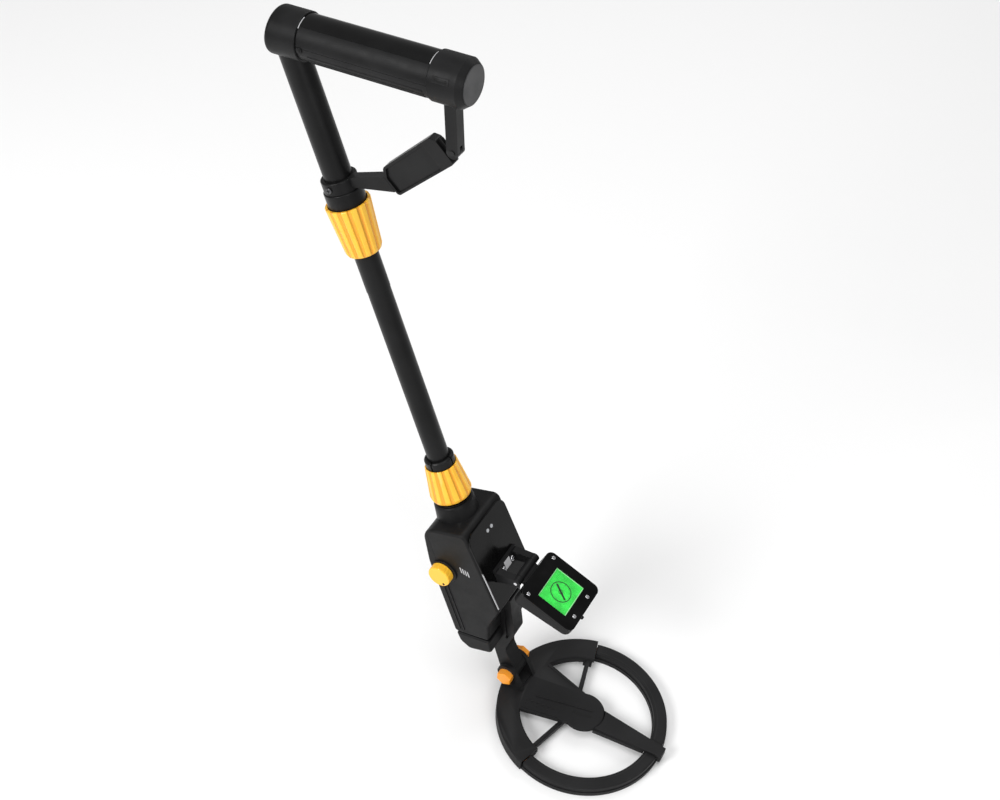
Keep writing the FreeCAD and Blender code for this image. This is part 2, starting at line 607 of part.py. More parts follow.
def grip_tube(x0, x1, split):
    """The grip's thin-walled barrel, thinner where it enters the caps; split is +1 for the top half."""
    lap0 = REAR_CAP_LENGTH + SEAT
    lap1 = GRIP_LENGTH - FRONT_CAP_LENGTH - SEAT
    inner = GRIP_R - GRIP_WALL
    solid = x_turned([(x0, inner), (x0, GRIP_R - 0.6), (lap0, GRIP_R - 0.6), (lap0, GRIP_R), (lap1, GRIP_R),
                      (lap1, GRIP_R - 0.6), (x1, GRIP_R - 0.6), (x1, inner)])
    half = block((-10, -FAR, 0.05), (FAR, FAR, FAR)) if split > 0 else block((-10, -FAR, -FAR), (FAR, FAR, -0.05))
    return solid.common(half)


def grip_top():
    x0 = REAR_CAP_LENGTH - CAP_LAP
    x1 = GRIP_LENGTH - FRONT_CAP_LENGTH + CAP_LAP
    return placed(grip_tube(x0, x1, 1).cut(tube_hole(GAP)), GRIP)


def grip_bottom():
    """Lower half shell with fine ribs along both sides and a screw boss at each end."""
    x0 = REAR_CAP_LENGTH - CAP_LAP
    x1 = GRIP_LENGTH - FRONT_CAP_LENGTH + CAP_LAP
    solid = grip_tube(x0, x1, -1)
    rib0 = REAR_CAP_LENGTH + 8.0
    rib1 = GRIP_LENGTH - FRONT_CAP_LENGTH - 4.0
    ribs = []
    for angle in (-70, -56, -42, -28, 28, 42, 56, 70):
        y = GRIP_R * math.sin(math.radians(angle))
        z = -GRIP_R * math.cos(math.radians(angle))
        ribs.append(rod(0.55, (rib0, y, z), (rib1, y, z)))
    solid = solid.fuse(ribs).cut(tube_hole(GAP)).cut(post_block(SEAT))
    for x in grip_screw_places():
        solid = solid.cut(rod(1.4, (x, 0, -GRIP_R - 1), (x, 0, 0)))
        solid = solid.cut(rod(2.9, (x, 0, -GRIP_R - 1), (x, 0, -GRIP_R + 1.2)))
    return placed(solid.removeSplitter(), GRIP)


def grip_screw_places():
    return (REAR_CAP_LENGTH + 9.0, GRIP_LENGTH - FRONT_CAP_LENGTH - 8.0)


def grip_screws():
    group = []
    for x in grip_screw_places():
        flipped = Placement(Vector(x, 0, -GRIP_R + 1.1), Rotation(Vector(1, 0, 0), 180))
        group.append(placed(screw(2.6, 1.4, 1.3, 9.0), flipped))
    return placed(Part.makeCompound(group), GRIP)


def post_block(clearance):
    half = POST_SIZE / 2 + clearance
    return block((POST_AT - half, -half, -CAP_R - POST_LENGTH), (POST_AT + half, half, -CAP_R + 5.0 + clearance))


def front_cap():
    solid = x_turned([(GRIP_LENGTH - FRONT_CAP_LENGTH, 0), (GRIP_LENGTH - FRONT_CAP_LENGTH, CAP_R - 0.8),
                      (GRIP_LENGTH - FRONT_CAP_LENGTH + 0.8, CAP_R), (GRIP_LENGTH - CAP_BEVEL, CAP_R),
                      (GRIP_LENGTH, DISC_R + 0.6), (GRIP_LENGTH, 0)])
    solid = solid.cut(along_x(GRIP_R - 0.6 + SEAT, 0, GRIP_LENGTH - FRONT_CAP_LENGTH + CAP_LAP + SEAT))
    solid = solid.cut(along_x(DISC_R + SEAT, GRIP_LENGTH - 2.2, GRIP_LENGTH + 1))
    solid = solid.cut(post_block(SEAT))
    return placed(solid, GRIP)


def end_disc():
    solid = along_x(DISC_R, GRIP_LENGTH - 2.1, GRIP_LENGTH + DISC_PROUD)
    solid = solid.makeFillet(0.4, [e for e in solid.Edges if e.BoundBox.XMin > GRIP_LENGTH])
    return placed(solid, GRIP)


# ---- brace ----
KNEE = Vector(POST_AT, 0, -CAP_R - POST_LENGTH + 1.0)
KNEE_IN_SHAFT = SHAFT.inverse().multVec(GRIP.multVec(KNEE))
PADDLE_TURN = Rotation(Vector(0, 1, 0), -PADDLE_ANGLE)
PADDLE = Placement(KNEE_IN_SHAFT - PADDLE_TURN.multVec(Vector(KNEE_R + 1.2, 0, -5.0)), PADDLE_TURN)


def brace_post():
    """Square post under the front cap, with the outer two knuckles of the knee."""
    solid = post_block(0)
    barrel = cross_rod(KNEE_R, KNEE.x, KNEE.z, -POST_SIZE / 2, POST_SIZE / 2)
    solid = solid.fuse(barrel)
    middle = block((KNEE.x - FAR, -POST_SIZE / 6 - SEAT, KNEE.z - KNEE_R - 1),
                   (KNEE.x + KNEE_R + 1, POST_SIZE / 6 + SEAT, KNEE.z + KNEE_R + SEAT))
    solid = solid.cut(middle).cut(cross_rod(PIN_R + SEAT / 2, KNEE.x, KNEE.z, -FAR, FAR))
    return placed(solid.removeSplitter(), GRIP)


def knee_pin():
    solid = cross_rod(PIN_R, KNEE.x, KNEE.z, -POST_SIZE / 2 - 0.6, POST_SIZE / 2 + 0.6)
    return placed(solid, GRIP)


def brace_paddle():
    """Flat guard plate between the knee and the arm: a thin floor inside raised rims. X runs towards the knee."""
    half = PADDLE_THICK / 2
    low, high = -PADDLE_WIDTH / 2, PADDLE_WIDTH / 2
    outline = [(-PADDLE_LENGTH, low + 1.5, 3.0), (0, low, 2.0), (0, high - 4.0, 2.0), (-3.5, high, 2.0),
               (-PADDLE_LENGTH + 5.0, high, 4.0), (-PADDLE_LENGTH, high - 6.0, 2.5)]
    solid = prism(outline, -half, half)
    inside = [(-PADDLE_LENGTH + PADDLE_RIM, low + 1.5 + PADDLE_RIM, 1.5), (-12.0, low + PADDLE_RIM, 1.5),
              (-12.0, high - PADDLE_RIM, 1.5), (-PADDLE_LENGTH + 5.0 + PADDLE_RIM, high - PADDLE_RIM, 1.5),
              (-PADDLE_LENGTH + PADDLE_RIM, high - 6.0 - PADDLE_RIM, 1.5)]
    for y0, y1 in ((-half - 1, -PADDLE_FLOOR / 2), (PADDLE_FLOOR / 2, half + 1)):
        solid = solid.cut(prism(inside, y0, y1))
    solid = placed(solid, PADDLE)
    knee = KNEE_IN_SHAFT
    tongue = rod(KNEE_R, (knee.x, -POST_SIZE / 6, knee.z), (knee.x, POST_SIZE / 6, knee.z))
    room = rod(KNEE_R + GAP, (knee.x, -FAR, knee.z), (knee.x, FAR, knee.z))
    solid = placed(solid.cut(room).fuse(knee_bridge()), SHAFT)
    solid = solid.fuse(placed(tongue, SHAFT)).cut(placed(rod(PIN_R + SEAT / 2, (knee.x, -FAR, knee.z),
                                                             (knee.x, FAR, knee.z)), SHAFT))
    post_room = placed(post_block(GAP), GRIP)
    middle = placed(block((-FAR, -POST_SIZE / 6, -FAR), (FAR, POST_SIZE / 6, KNEE.z + KNEE_R)), GRIP)
    return solid.cut(post_room.cut(middle)).removeSplitter()


def knee_bridge():
    """The web that joins the paddle to its middle knuckle."""
    third = POST_SIZE / 6
    bar = placed(block((-6.0, -third, -PADDLE_WIDTH / 2 + 4.0), (3.0, third, PADDLE_WIDTH / 2 - 5.0)), PADDLE)
    return bar.common(rod(FAR, (0, -third, ARM_AT), (0, third, ARM_AT)))


def arm_outline(extra=0.0):
    paddle_end = PADDLE.multVec(Vector(-PADDLE_LENGTH, 0, -3.0))
    return [(CLAMP_R - 2.0, ARM_AT - ARM_HEIGHT / 2 + 0.4), (paddle_end.x + 1.0, ARM_AT - ARM_HEIGHT / 2 - 1.6),
            (paddle_end.x + 3.0, ARM_AT + ARM_HEIGHT / 2 + 2.2), (CLAMP_R - 2.0, ARM_AT + ARM_HEIGHT / 2 - 0.6)]


def brace_arm():
    """Arm from the paddle to a clamp ring on the upper tube."""
    half = ARM_THICK / 2
    solid = prism(arm_outline(), -half, half)
    clamp = rod(CLAMP_R, (0, 0, SLEEVE_TOP + 0.2), (0, 0, SLEEVE_TOP + 0.2 + CLAMP_LENGTH))
    clamp = soften(clamp, 1.2, at_height(SLEEVE_TOP + 0.2 + CLAMP_LENGTH))
    solid = solid.fuse(clamp)
    solid = solid.cut(rod(TUBE_R + SEAT, (0, 0, SLEEVE_TOP - 5), (0, 0, SLEEVE_TOP + 30)))
    solid = solid.cut(arm_screw_hole()).cut(rod(FAR, (0, 0, SLEEVE_TOP - 20), (0, 0, SLEEVE_TOP + 0.2)))
    solid = placed(solid, SHAFT)
    return solid.cut(inflated_paddle()).removeSplitter()


def inflated_paddle():
    """The paddle's outline with a small clearance, for the arm's end to butt against."""
    half = PADDLE_THICK / 2 + 1
    low, high = -PADDLE_WIDTH / 2, PADDLE_WIDTH / 2
    outline = [(-PADDLE_LENGTH - SEAT, low + 1.5, 3.0), (0, low - SEAT, 2.0), (0, high + SEAT, 2.0),
               (-PADDLE_LENGTH + 5.0, high + SEAT, 4.0), (-PADDLE_LENGTH - SEAT, high - 6.0, 2.5)]
    return placed(placed(prism(outline, -half, half), PADDLE), SHAFT)


def arm_screw_hole():
    z = SLEEVE_TOP + 0.2 + CLAMP_LENGTH / 2
    return rod(1.25, (0, -CLAMP_R - 5, z), (0, -TUBE_R, z))


def arm_screw():
    z = SLEEVE_TOP + 0.2 + CLAMP_LENGTH / 2
    turn = Rotation(Vector(1, 0, 0), 90)
    one = screw(2.4, 1.3, 1.1, CLAMP_R - TUBE_R - SEAT)
    return placed(placed(one, Placement(Vector(0, -CLAMP_R - 0.05, z), turn)), SHAFT)


# ---- control box: the shaft's frame ----
FRONT_SLOPE = Vector(PANEL_LOW_U - PANEL_TOP_U, 0, PANEL_LOW_Z - PANEL_TOP_Z)
FRONT_OUT = Vector(-FRONT_SLOPE.z, 0, FRONT_SLOPE.x).normalize()


def box_outline():
    """Side outline of the box, its front 'PANEL_THICK' inside the glossy panel's face."""
    inset = FRONT_OUT * PANEL_THICK
    top = Vector(PANEL_TOP_U, 0, PANEL_TOP_Z) - inset
    low = Vector(PANEL_LOW_U, 0, PANEL_LOW_Z) - inset
    return [(BOX_BACK, BOX_BOTTOM, 3.5), (BOX_BACK, BOX_TOP - 38, 36.0), (-18.5, BOX_TOP, 14.0),
            (top.x - 0.8, BOX_TOP, 6.5), (top.x, top.z, 20.0), (low.x, low.z, 1.0), (low.x - 3.0, low.z - 5.0, 2.0),
            (15.5, 81.0, 8.0), (9.5, BOX_BOTTOM - 4.0, 3.5)]


def box_shell():
    face = Part.Face(rounded_wire(box_outline(), -BOX_HALF))
    outer = face.extrude(Vector(0, 2 * BOX_HALF, 0))
    outer = soften(outer, BOX_EDGE, lambda e: on_side(BOX_HALF)(e) or on_side(-BOX_HALF)(e))
    inner_wire = Part.Face(rounded_wire(box_outline(), -BOX_HALF + BOX_WALL)).makeOffset2D(-BOX_WALL)
    inner = inner_wire.extrude(Vector(0, 2 * (BOX_HALF - BOX_WALL), 0))
    return outer.cut(inner)


def neck_room(clearance):
    top = LOWER_COLLAR_BOTTOM
    return rod(NECK_R + 2.4 + clearance, (0, 0, POLE_BOTTOM - 6), (0, 0, top))


def behind_parting(gap):
    return block((-FAR, -FAR, -FAR), (PARTING_U - gap, FAR, FAR))


def housing():
    """Front tub of the box with its raised neck boss and the wells for the panel's bracket."""
    boss = turned([(0, BOX_TOP - 6), (NECK_R + 6.5, BOX_TOP - 6), (NECK_R + 4.6, LOWER_COLLAR_BOTTOM - 5.0),
                   (NECK_R + 3.2, LOWER_COLLAR_BOTTOM - 3.0), (0, LOWER_COLLAR_BOTTOM - 3.0)])
    solid = box_shell().cut(behind_parting(0)).fuse(boss.cut(behind_parting(0)))
    solid = solid.cut(neck_room(SEAT))
    solid = solid.cut(cross_rod(KNOB_SHAFT_R + GAP, KNOB_U, KNOB_Z, -BOX_HALF - 1, -BOX_HALF + BOX_WALL + 1))
    for place in light_places():
        solid = solid.cut(front_pin(place, 1.6 + SEAT, -8.0, 1.0))
    for y in (-BRACKET_Y, BRACKET_Y):
        solid = solid.cut(front_pin((BRACKET_LEVEL, y), 1.3, -8.0, 1.0))
    return placed(solid.removeSplitter(), SHAFT)


def back_cover():
    solid = box_shell().common(behind_parting(2 * SEAT))
    boss = turned([(0, BOX_TOP - 6), (NECK_R + 6.5, BOX_TOP - 6), (NECK_R + 4.6, LOWER_COLLAR_BOTTOM - 5.0),
                   (NECK_R + 3.2, LOWER_COLLAR_BOTTOM - 3.0), (0, LOWER_COLLAR_BOTTOM - 3.0)])
    solid = solid.fuse(boss.common(behind_parting(2 * SEAT))).cut(neck_room(SEAT))
    opening = block((BOX_BACK - 5, -DOOR_HALF - GAP, DOOR_LOW - GAP), (BOX_BACK + BOX_WALL + 1, DOOR_HALF + GAP, DOOR_HIGH + GAP))
    solid = solid.cut(opening)
    for k in range(6):
        z = BOX_TOP - 44 - 4.2 * k
        if z > DOOR_HIGH + 5:
            solid = solid.cut(block((BOX_BACK - 5, -11, z), (BOX_BACK + BOX_WALL + 3, 11, z + 1.8)))
    for u, y, z in housing_screw_places():
        solid = solid.cut(rod(1.5, (BOX_BACK - 5, y, z), (PARTING_U + 1, y, z)))
        solid = solid.cut(rod(2.9, (BOX_BACK - 5, y, z), (BOX_BACK + 1.4, y, z)))
    return placed(solid.removeSplitter(), SHAFT)


DOOR_HALF = BOX_HALF - 13.0
DOOR_LOW = 72.0
DOOR_HIGH = 128.0


def battery_door():
    """Door in the back cover, with a ribbed thumb pad."""
    solid = block((BOX_BACK, -DOOR_HALF, DOOR_LOW), (BOX_BACK + BOX_WALL - 0.2, DOOR_HALF, DOOR_HIGH))
    solid = solid.makeFillet(0.5, [e for e in solid.Edges if abs(e.BoundBox.XMax - BOX_BACK) < 0.01])
    for k in range(4):
        z = DOOR_HIGH - 8.0 - 2.6 * k
        solid = solid.fuse(block((BOX_BACK - 0.7, -7, z), (BOX_BACK + 0.5, 7, z + 1.2)))
    return placed(solid.removeSplitter(), SHAFT)


def housing_screw_places():
    z_high, z_low = BOX_TOP - 28, BOX_BOTTOM + 7
    return [(BOX_BACK, y, z) for y in (-BOX_HALF + 6.5, BOX_HALF - 6.5) for z in (z_low, z_high)]


def housing_screws():
    group = []
    for u, y, z in housing_screw_places():
        turn = Rotation(Vector(0, 1, 0), -90)
        group.append(placed(screw(2.6, 1.2, 1.35, 9.0), Placement(Vector(BOX_BACK + 1.35, y, z), turn)))
    return placed(Part.makeCompound(group), SHAFT)


def front_pin(place, radius, inward, outward):
    """A short rod square to the front slope, at (distance below its top edge, y)."""
    level, y = place
    foot = Vector(PANEL_TOP_U, 0, PANEL_TOP_Z) - FRONT_OUT * PANEL_THICK
    along = Vector(FRONT_SLOPE.x, 0, FRONT_SLOPE.z).normalize()
    centre = foot + along * level + Vector(0, y, 0)
    start, end = centre + FRONT_OUT * inward, centre + FRONT_OUT * outward
    return rod(radius, tuple(start), tuple(end))


SLOPE_FRAME = Placement(Vector(PANEL_TOP_U, 0, PANEL_TOP_Z) - FRONT_OUT * PANEL_THICK,
                        Rotation(Vector(FRONT_SLOPE.x, 0, FRONT_SLOPE.z).normalize(), Vector(0, 1, 0), FRONT_OUT, "XYZ"))
BRACKET_LEVEL = 47.0
BRACKET_Y = KNUCKLE_SPLIT - 3.5


def light_places():
    return ((8.0, -3.0), (8.0, 3.0))


def front_panel():
    """Glossy plate over the sloping front, rounded at its upper corners. X runs down the slope."""
    length = FRONT_SLOPE.Length
    half = BOX_HALF - 0.6
    solid = plate([(-4.0, -half, 10.0), (length - 1.0, -half, 1.5), (length - 1.0, half, 1.5), (-4.0, half, 10.0)],
                  0.05, PANEL_THICK)
    solid = soften(solid, 0.5, at_height(PANEL_THICK))
    solid = placed(solid, SLOPE_FRAME)
    for place in light_places():
        solid = solid.cut(front_pin(place, 1.6 + SEAT, -2.0, 5.0))
    for y in (-BRACKET_Y, BRACKET_Y):
        solid = solid.cut(front_pin((BRACKET_LEVEL, y), 1.3, -2.0, 5.0))
    return placed(solid, SHAFT)


def status_lights():
    """Two small round lights that shine through the panel."""
    group = []
    for place in light_places():
        group.append(front_pin(place, 1.6, -5.0, PANEL_THICK + 0.4))
    return placed(Part.makeCompound(group), SHAFT)


def foot():
    """Rounded skid under the box."""
    outline = [(BOX_BACK + 0.6, BOX_BOTTOM - 1.0, 2.0), (BOX_BACK + 1.6, FOOT_BOTTOM + 8.0, 8.0),
               (BOX_BACK + 9.0, FOOT_BOTTOM, 7.0), (8.4, FOOT_BOTTOM + 0.6, 4.0), (9.6, BOX_BOTTOM - 5.4, 2.0)]
    solid = prism(outline, -BOX_HALF, BOX_HALF)
    solid = soften(solid, 2.0, lambda e: on_side(BOX_HALF)(e) or on_side(-BOX_HALF)(e))
    solid = solid.cut(block((-7.2, -STEM_HALF - SEAT, 0), (FAR, STEM_HALF + SEAT, FAR)))
    solid = solid.cut(shell_envelope(0.6))
    return placed(solid.removeSplitter(), SHAFT)


def shell_envelope(clearance):
    face = Part.Face(rounded_wire(box_outline(), -FAR / 2)).makeOffset2D(clearance)
    return face.extrude(Vector(0, FAR, 0))


def stem():
    """The stem from the box down to the coil hinge, its lower end between the coil's ears."""
    outline = [(-8.2, 0.0), (-7.0, 30.0, 8.0), (-4.0, BOX_BOTTOM + 6.0), (22.0, BOX_BOTTOM + 36.0),
               (29.6, BOX_BOTTOM + 30.0, 1.5), (21.0, 52.0, 12.0), (4.0, 29.0, 14.0), (7.8, 0.0)]
    solid = prism(outline, -STEM_HALF, STEM_HALF)
    solid = solid.cut(shell_envelope(SEAT))
    solid = solid.fuse(cross_rod(EAR_R - 0.6, 0, 0, -STEM_HALF, STEM_HALF))
    groove = prism([(12.0, 50.0, 1.0), (19.5, 84.0, 1.0), (23.5, 84.0, 1.0), (17.5, 53.0, 1.0), (5.0, 36.0, 1.0)],
                   -STEM_HALF - 1, -STEM_HALF + 1.6)
    solid = solid.cut(groove).cut(groove.mirror(Vector(0, 0, 0), Vector(0, 1, 0)))
    solid = solid.cut(cross_rod(BOLT_R + RUN, 0, 0, -FAR, FAR))
    return placed(solid.removeSplitter(), SHAFT)


def knob_ring():
    """Raised ring on the box's side that the knob turns in front of."""
    y = -BOX_HALF
    solid = cross_rod(KNOB_R + 1.6, KNOB_U + 1.0, KNOB_Z, y - 1.6, y - 0.05)
    solid = soften(solid, 0.7, on_side(y - 1.6))
    return placed(solid.cut(cross_rod(KNOB_SHAFT_R + GAP, KNOB_U, KNOB_Z, y - 3, y + 1)), SHAFT)


def knob():
    """Amber volume and tuning knob with shallow finger notches and a pointer recess."""
    y0 = -BOX_HALF - 1.6 - GAP
    y1 = y0 - KNOB_THICK
    solid = cross_rod(KNOB_R, KNOB_U, KNOB_Z, y1, y0)
    solid = soften(solid, 1.4, on_side(y1))
    for k in range(18):
        angle = math.radians(20 * k)
        u = KNOB_U + (KNOB_R + 0.5) * math.cos(angle)
        z = KNOB_Z + (KNOB_R + 0.5) * math.sin(angle)
        solid = solid.cut(cross_rod(0.9, u, z, y1 - 1, y0 - 1.2))
    solid = solid.cut(knob_mark_blank(0.05)).cut(cross_rod(KNOB_SHAFT_R + 0.02, KNOB_U, KNOB_Z, y1 + 2, y0 + 1))
    return placed(solid, SHAFT)


def knob_mark_blank(extra):
    y1 = -BOX_HALF - 1.6 - GAP - KNOB_THICK
    return cross_rod(1.1 + extra, KNOB_U + 3.0, KNOB_Z - 7.0, y1 - 0.2, y1 + 0.8 + extra)


def knob_mark():
    return placed(knob_mark_blank(0.0), SHAFT)


def pot_shaft():
    y0 = -BOX_HALF - 1.6 - GAP - KNOB_THICK + 2.2
    return placed(cross_rod(KNOB_SHAFT_R, KNOB_U, KNOB_Z, y0, -BOX_HALF + BOX_WALL + 4.0), SHAFT)


def potentiometer():
    y0 = -BOX_HALF + BOX_WALL + 0.3
    solid = cross_rod(POT_R, KNOB_U, KNOB_Z, y0, y0 + 9.0)
    solid = solid.cut(cross_rod(KNOB_SHAFT_R + RUN, KNOB_U, KNOB_Z, y0 - 1, y0 + 4.4))
    return placed(solid, SHAFT)


def main_board():
    """Circuit board on the front tub's inner face, with a few tall components."""
    half = BOX_HALF - BOX_WALL - 3.8
    solid = block((8.0, -half, BOX_BOTTOM + 18), (9.6, half, BOX_TOP - 16))
    for z, y, size in ((98, -12, 9), (112, 9, 12), (134, -8, 14), (150, 12, 8)):
        solid = solid.fuse(block((5.2, y - size / 2, z - size / 2), (8.0, y + size / 2, z + size / 2)))
    return placed(solid.removeSplitter(), SHAFT)


def battery():
    solid = block((BOX_BACK + BOX_WALL + 0.5, -13.2, 75.0), (BOX_BACK + BOX_WALL + 18.0, 13.2, 121.5))
    solid = soften(solid, 1.5, lambda e: e.BoundBox.ZLength > 40)
    for y, r in ((-6.3, 2.8), (6.3, 3.8)):
        solid = solid.fuse(rod(r, (BOX_BACK + BOX_WALL + 9.2, y, 121.0), (BOX_BACK + BOX_WALL + 9.2, y, 124.0)))
    return placed(solid, SHAFT)


def battery_clip():
    """Snap connector on the battery's two studs."""
    middle = BOX_BACK + BOX_WALL + 9.2
    solid = block((middle - 6.0, -12.0, 121.7), (middle + 6.0, 12.0, 126.0))
    for y, r in ((-6.3, 2.9), (6.3, 3.9)):
        solid = solid.cut(rod(r, (middle, y, 121.0), (middle, y, 124.2)))
    return placed(solid, SHAFT)


def speaker():
    """Small round speaker behind the slots in the back cover."""
    x0 = BOX_BACK + BOX_WALL + 3.2
    z = BOX_TOP - 46
    solid = turned([(0, 0), (8, 0), (8, 4.0), (14.5, 6.0), (14.5, 7.5), (13.0, 7.5), (9.0, 5.5), (0, 5.5)])
    turn = Rotation(Vector(0, 1, 0), -90)
    return placed(placed(solid, Placement(Vector(x0 + 7.5, 6.0, z), turn)), SHAFT)


# ---- display: its own frame, X forwards along the face, Z out of the face, origin on the hinge ----
FACE_Z = DISPLAY_FACE_ABOVE_HINGE
EDGE_X = DISPLAY_EDGE_FROM_HINGE
SCREEN_X = EDGE_X + DISPLAY_LENGTH / 2 + 1.0
SCREEN_RECESS = 0.5


def display_bracket():
    """Two-eared bracket screwed to the sloping front."""
    half = KNUCKLE_SPLIT + LUG_WIDTH
    seat = SLOPE_FRAME.multVec(Vector(BRACKET_LEVEL, 0, PANEL_THICK + 0.05))
    along = Vector(FRONT_SLOPE.x, 0, FRONT_SLOPE.z).normalize()
    out = FRONT_OUT
    base_half = 6.5
    corners = [seat - along * base_half, seat + along * base_half,
               seat + along * base_half + out * 3.0, seat - along * base_half + out * 3.0]
    base = prism([(c.x, c.z) for c in corners], -half, half)
    pad = base.copy()
    root = [seat - along * (base_half - 1), seat + along * (base_half - 1)]
    barrel = Vector(DISPLAY_HINGE_U, 0, DISPLAY_HINGE_Z)
    arm = [root[0], root[1], barrel + along * DISPLAY_BARREL_R * 0.95, barrel - along * DISPLAY_BARREL_R * 0.95]
    for y0, y1 in ((-half, -KNUCKLE_SPLIT), (KNUCKLE_SPLIT, half)):
        lug = prism([(c.x, c.z) for c in arm], y0, y1)
        lug = lug.fuse(cross_rod(DISPLAY_BARREL_R, barrel.x, barrel.z, y0, y1))
        base = base.fuse(lug)
    middle = cross_rod(DISPLAY_BARREL_R + 2.2, barrel.x, barrel.z, -KNUCKLE_SPLIT, KNUCKLE_SPLIT)
    base = base.cut(middle).fuse(pad.cut(middle))
    base = base.cut(cross_rod(DISPLAY_PIN_R + 0.02, barrel.x, barrel.z, -FAR, FAR))
    for y in (-BRACKET_Y, BRACKET_Y):
        base = base.cut(front_pin((BRACKET_LEVEL, y), 1.35, PANEL_THICK - 1, PANEL_THICK + 20))
    return placed(base.removeSplitter(), SHAFT)


def bracket_screws():
    group = []
    for y in (-BRACKET_Y, BRACKET_Y):
        top = SLOPE_FRAME.multiply(Placement(Vector(BRACKET_LEVEL, y, PANEL_THICK + 3.15), Rotation()))
        group.append(placed(screw(2.4, 1.2, 1.15, 9.0), top))
    return placed(Part.makeCompound(group), SHAFT)


def display_pin():
    half = KNUCKLE_SPLIT + LUG_WIDTH + 0.4
    return placed(cross_rod(DISPLAY_PIN_R, 0, 0, -half, half), DISPLAY)


def display_body_outline(shrink=0.0):
    low_rear = FACE_Z - DISPLAY_THICK_REAR + shrink
    low_front = FACE_Z - DISPLAY_THICK_FRONT + shrink
    high = FACE_Z - BEZEL_THICK - 0.05
    end = EDGE_X + DISPLAY_LENGTH - shrink
    start = EDGE_X + shrink
    return [(start, low_rear, 1.5), (end, low_front, 1.5), (end, high + shrink * 2), (start, high + shrink * 2)]


def display_back():
    """Wedge-shaped back shell with the middle knuckle of the hinge."""
    half = DISPLAY_WIDTH / 2
    wall = 1.8
    solid = prism(display_body_outline(), -half, half)
    corner = rounded_block(EDGE_X, EDGE_X + DISPLAY_LENGTH, half, -FAR, FAR, DISPLAY_CORNER)
    solid = solid.common(corner)
    inside = prism(display_body_outline(wall), -half + wall, half - wall)
    inner_corner = rounded_block(EDGE_X + wall, EDGE_X + DISPLAY_LENGTH - wall, half - wall, -FAR, FAR,
                                 DISPLAY_CORNER - wall)
    solid = solid.cut(inside.common(inner_corner))
    width = KNUCKLE_SPLIT - GAP
    knuckle = cross_rod(DISPLAY_BARREL_R, 0, 0, -width, width)
    neck_block = block((0, -width, -DISPLAY_BARREL_R), (EDGE_X + 0.5, width, DISPLAY_BARREL_R * 0.6))
    solid = solid.fuse([knuckle, neck_block])
    for x, y in display_screw_places():
        post = rod(3.0, (x, y, FACE_Z - DISPLAY_THICK_FRONT + 1), (x, y, FACE_Z - BEZEL_THICK - 0.05))
        solid = solid.fuse(post.common(corner)).cut(rod(1.25, (x, y, FACE_Z - 8.0), (x, y, FACE_Z)))
    solid = solid.cut(cross_rod(DISPLAY_PIN_R + RUN, 0, 0, -FAR, FAR))
    solid = solid.cut(button_room())
    return placed(solid.removeSplitter(), DISPLAY)


def display_screw_places():
    rear_x = EDGE_X + 6.8
    front_x = EDGE_X + DISPLAY_LENGTH - 5.5
    rear_y = DISPLAY_WIDTH / 2 - 4.5
    front_y = DISPLAY_WIDTH / 2 - 14.8
    return ((rear_x, -rear_y), (rear_x, rear_y), (front_x, -front_y), (front_x, front_y))


def display_bezel():
    """Square black frame round the screen."""
    half = DISPLAY_WIDTH / 2
    z0 = FACE_Z - BEZEL_THICK
    solid = rounded_block(EDGE_X, EDGE_X + DISPLAY_LENGTH, half, z0, FACE_Z, DISPLAY_CORNER)
    solid = soften(solid, 0.6, at_height(FACE_Z))
    length, width = SCREEN_LENGTH / 2, SCREEN_WIDTH / 2
    solid = solid.cut(block((SCREEN_X - length, -width, z0 - 1), (SCREEN_X + length, width, FACE_Z + 1)))
    for x, y in display_screw_places():
        solid = solid.cut(rod(1.3, (x, y, z0 - 1), (x, y, FACE_Z + 1)))
        solid = solid.cut(rod(1.9, (x, y, FACE_Z - 0.9), (x, y, FACE_Z + 1)))
    return placed(solid, DISPLAY)


def display_screws():
    group = []
    for x, y in display_screw_places():
        group.append(placed(screw(1.75, 1.1, 1.15, 6.5), Placement(Vector(x, y, FACE_Z - 0.85), Rotation())))
    return placed(Part.makeCompound(group), DISPLAY)


def display_window():
    """Clear window set in the bezel."""
    length, width = SCREEN_LENGTH / 2 - SEAT, SCREEN_WIDTH / 2 - SEAT
    top = FACE_Z - SCREEN_RECESS
    return placed(block((SCREEN_X - length, -width, top - 0.8), (SCREEN_X + length, width, top)), DISPLAY)


def lcd():
    """Green back-lit LCD glass under the window."""
    length, width = SCREEN_LENGTH / 2 - SEAT, SCREEN_WIDTH / 2 - SEAT
    top = FACE_Z - SCREEN_RECESS - 0.85
    solid = block((SCREEN_X - length, -width, top - 1.1), (SCREEN_X + length, width, top))
    return placed(solid, DISPLAY)


def display_board():
    top = FACE_Z - BEZEL_THICK - 0.3
    solid = block((EDGE_X + 11.0, -18.5, top - 1.4), (EDGE_X + DISPLAY_LENGTH - 9.0, 18.5, top))
    return placed(solid, DISPLAY)


BUTTON_Y = -5.0
BUTTON_R = 1.6
BUTTON_Z = FACE_Z - 4.6


def button_room():
    x1 = EDGE_X + DISPLAY_LENGTH + 1
    return rod(BUTTON_R + GAP, (x1 - 5, BUTTON_Y, BUTTON_Z), (x1, BUTTON_Y, BUTTON_Z))


def display_button():
    """Small push button in the display's front edge."""
    x1 = EDGE_X + DISPLAY_LENGTH + 2.0
    solid = rod(BUTTON_R, (x1 - 5.2, BUTTON_Y, BUTTON_Z), (x1, BUTTON_Y, BUTTON_Z))
    solid = solid.makeFillet(0.5, [e for e in solid.Edges if e.BoundBox.XMin > x1 - 0.01])
    return placed(solid, DISPLAY)


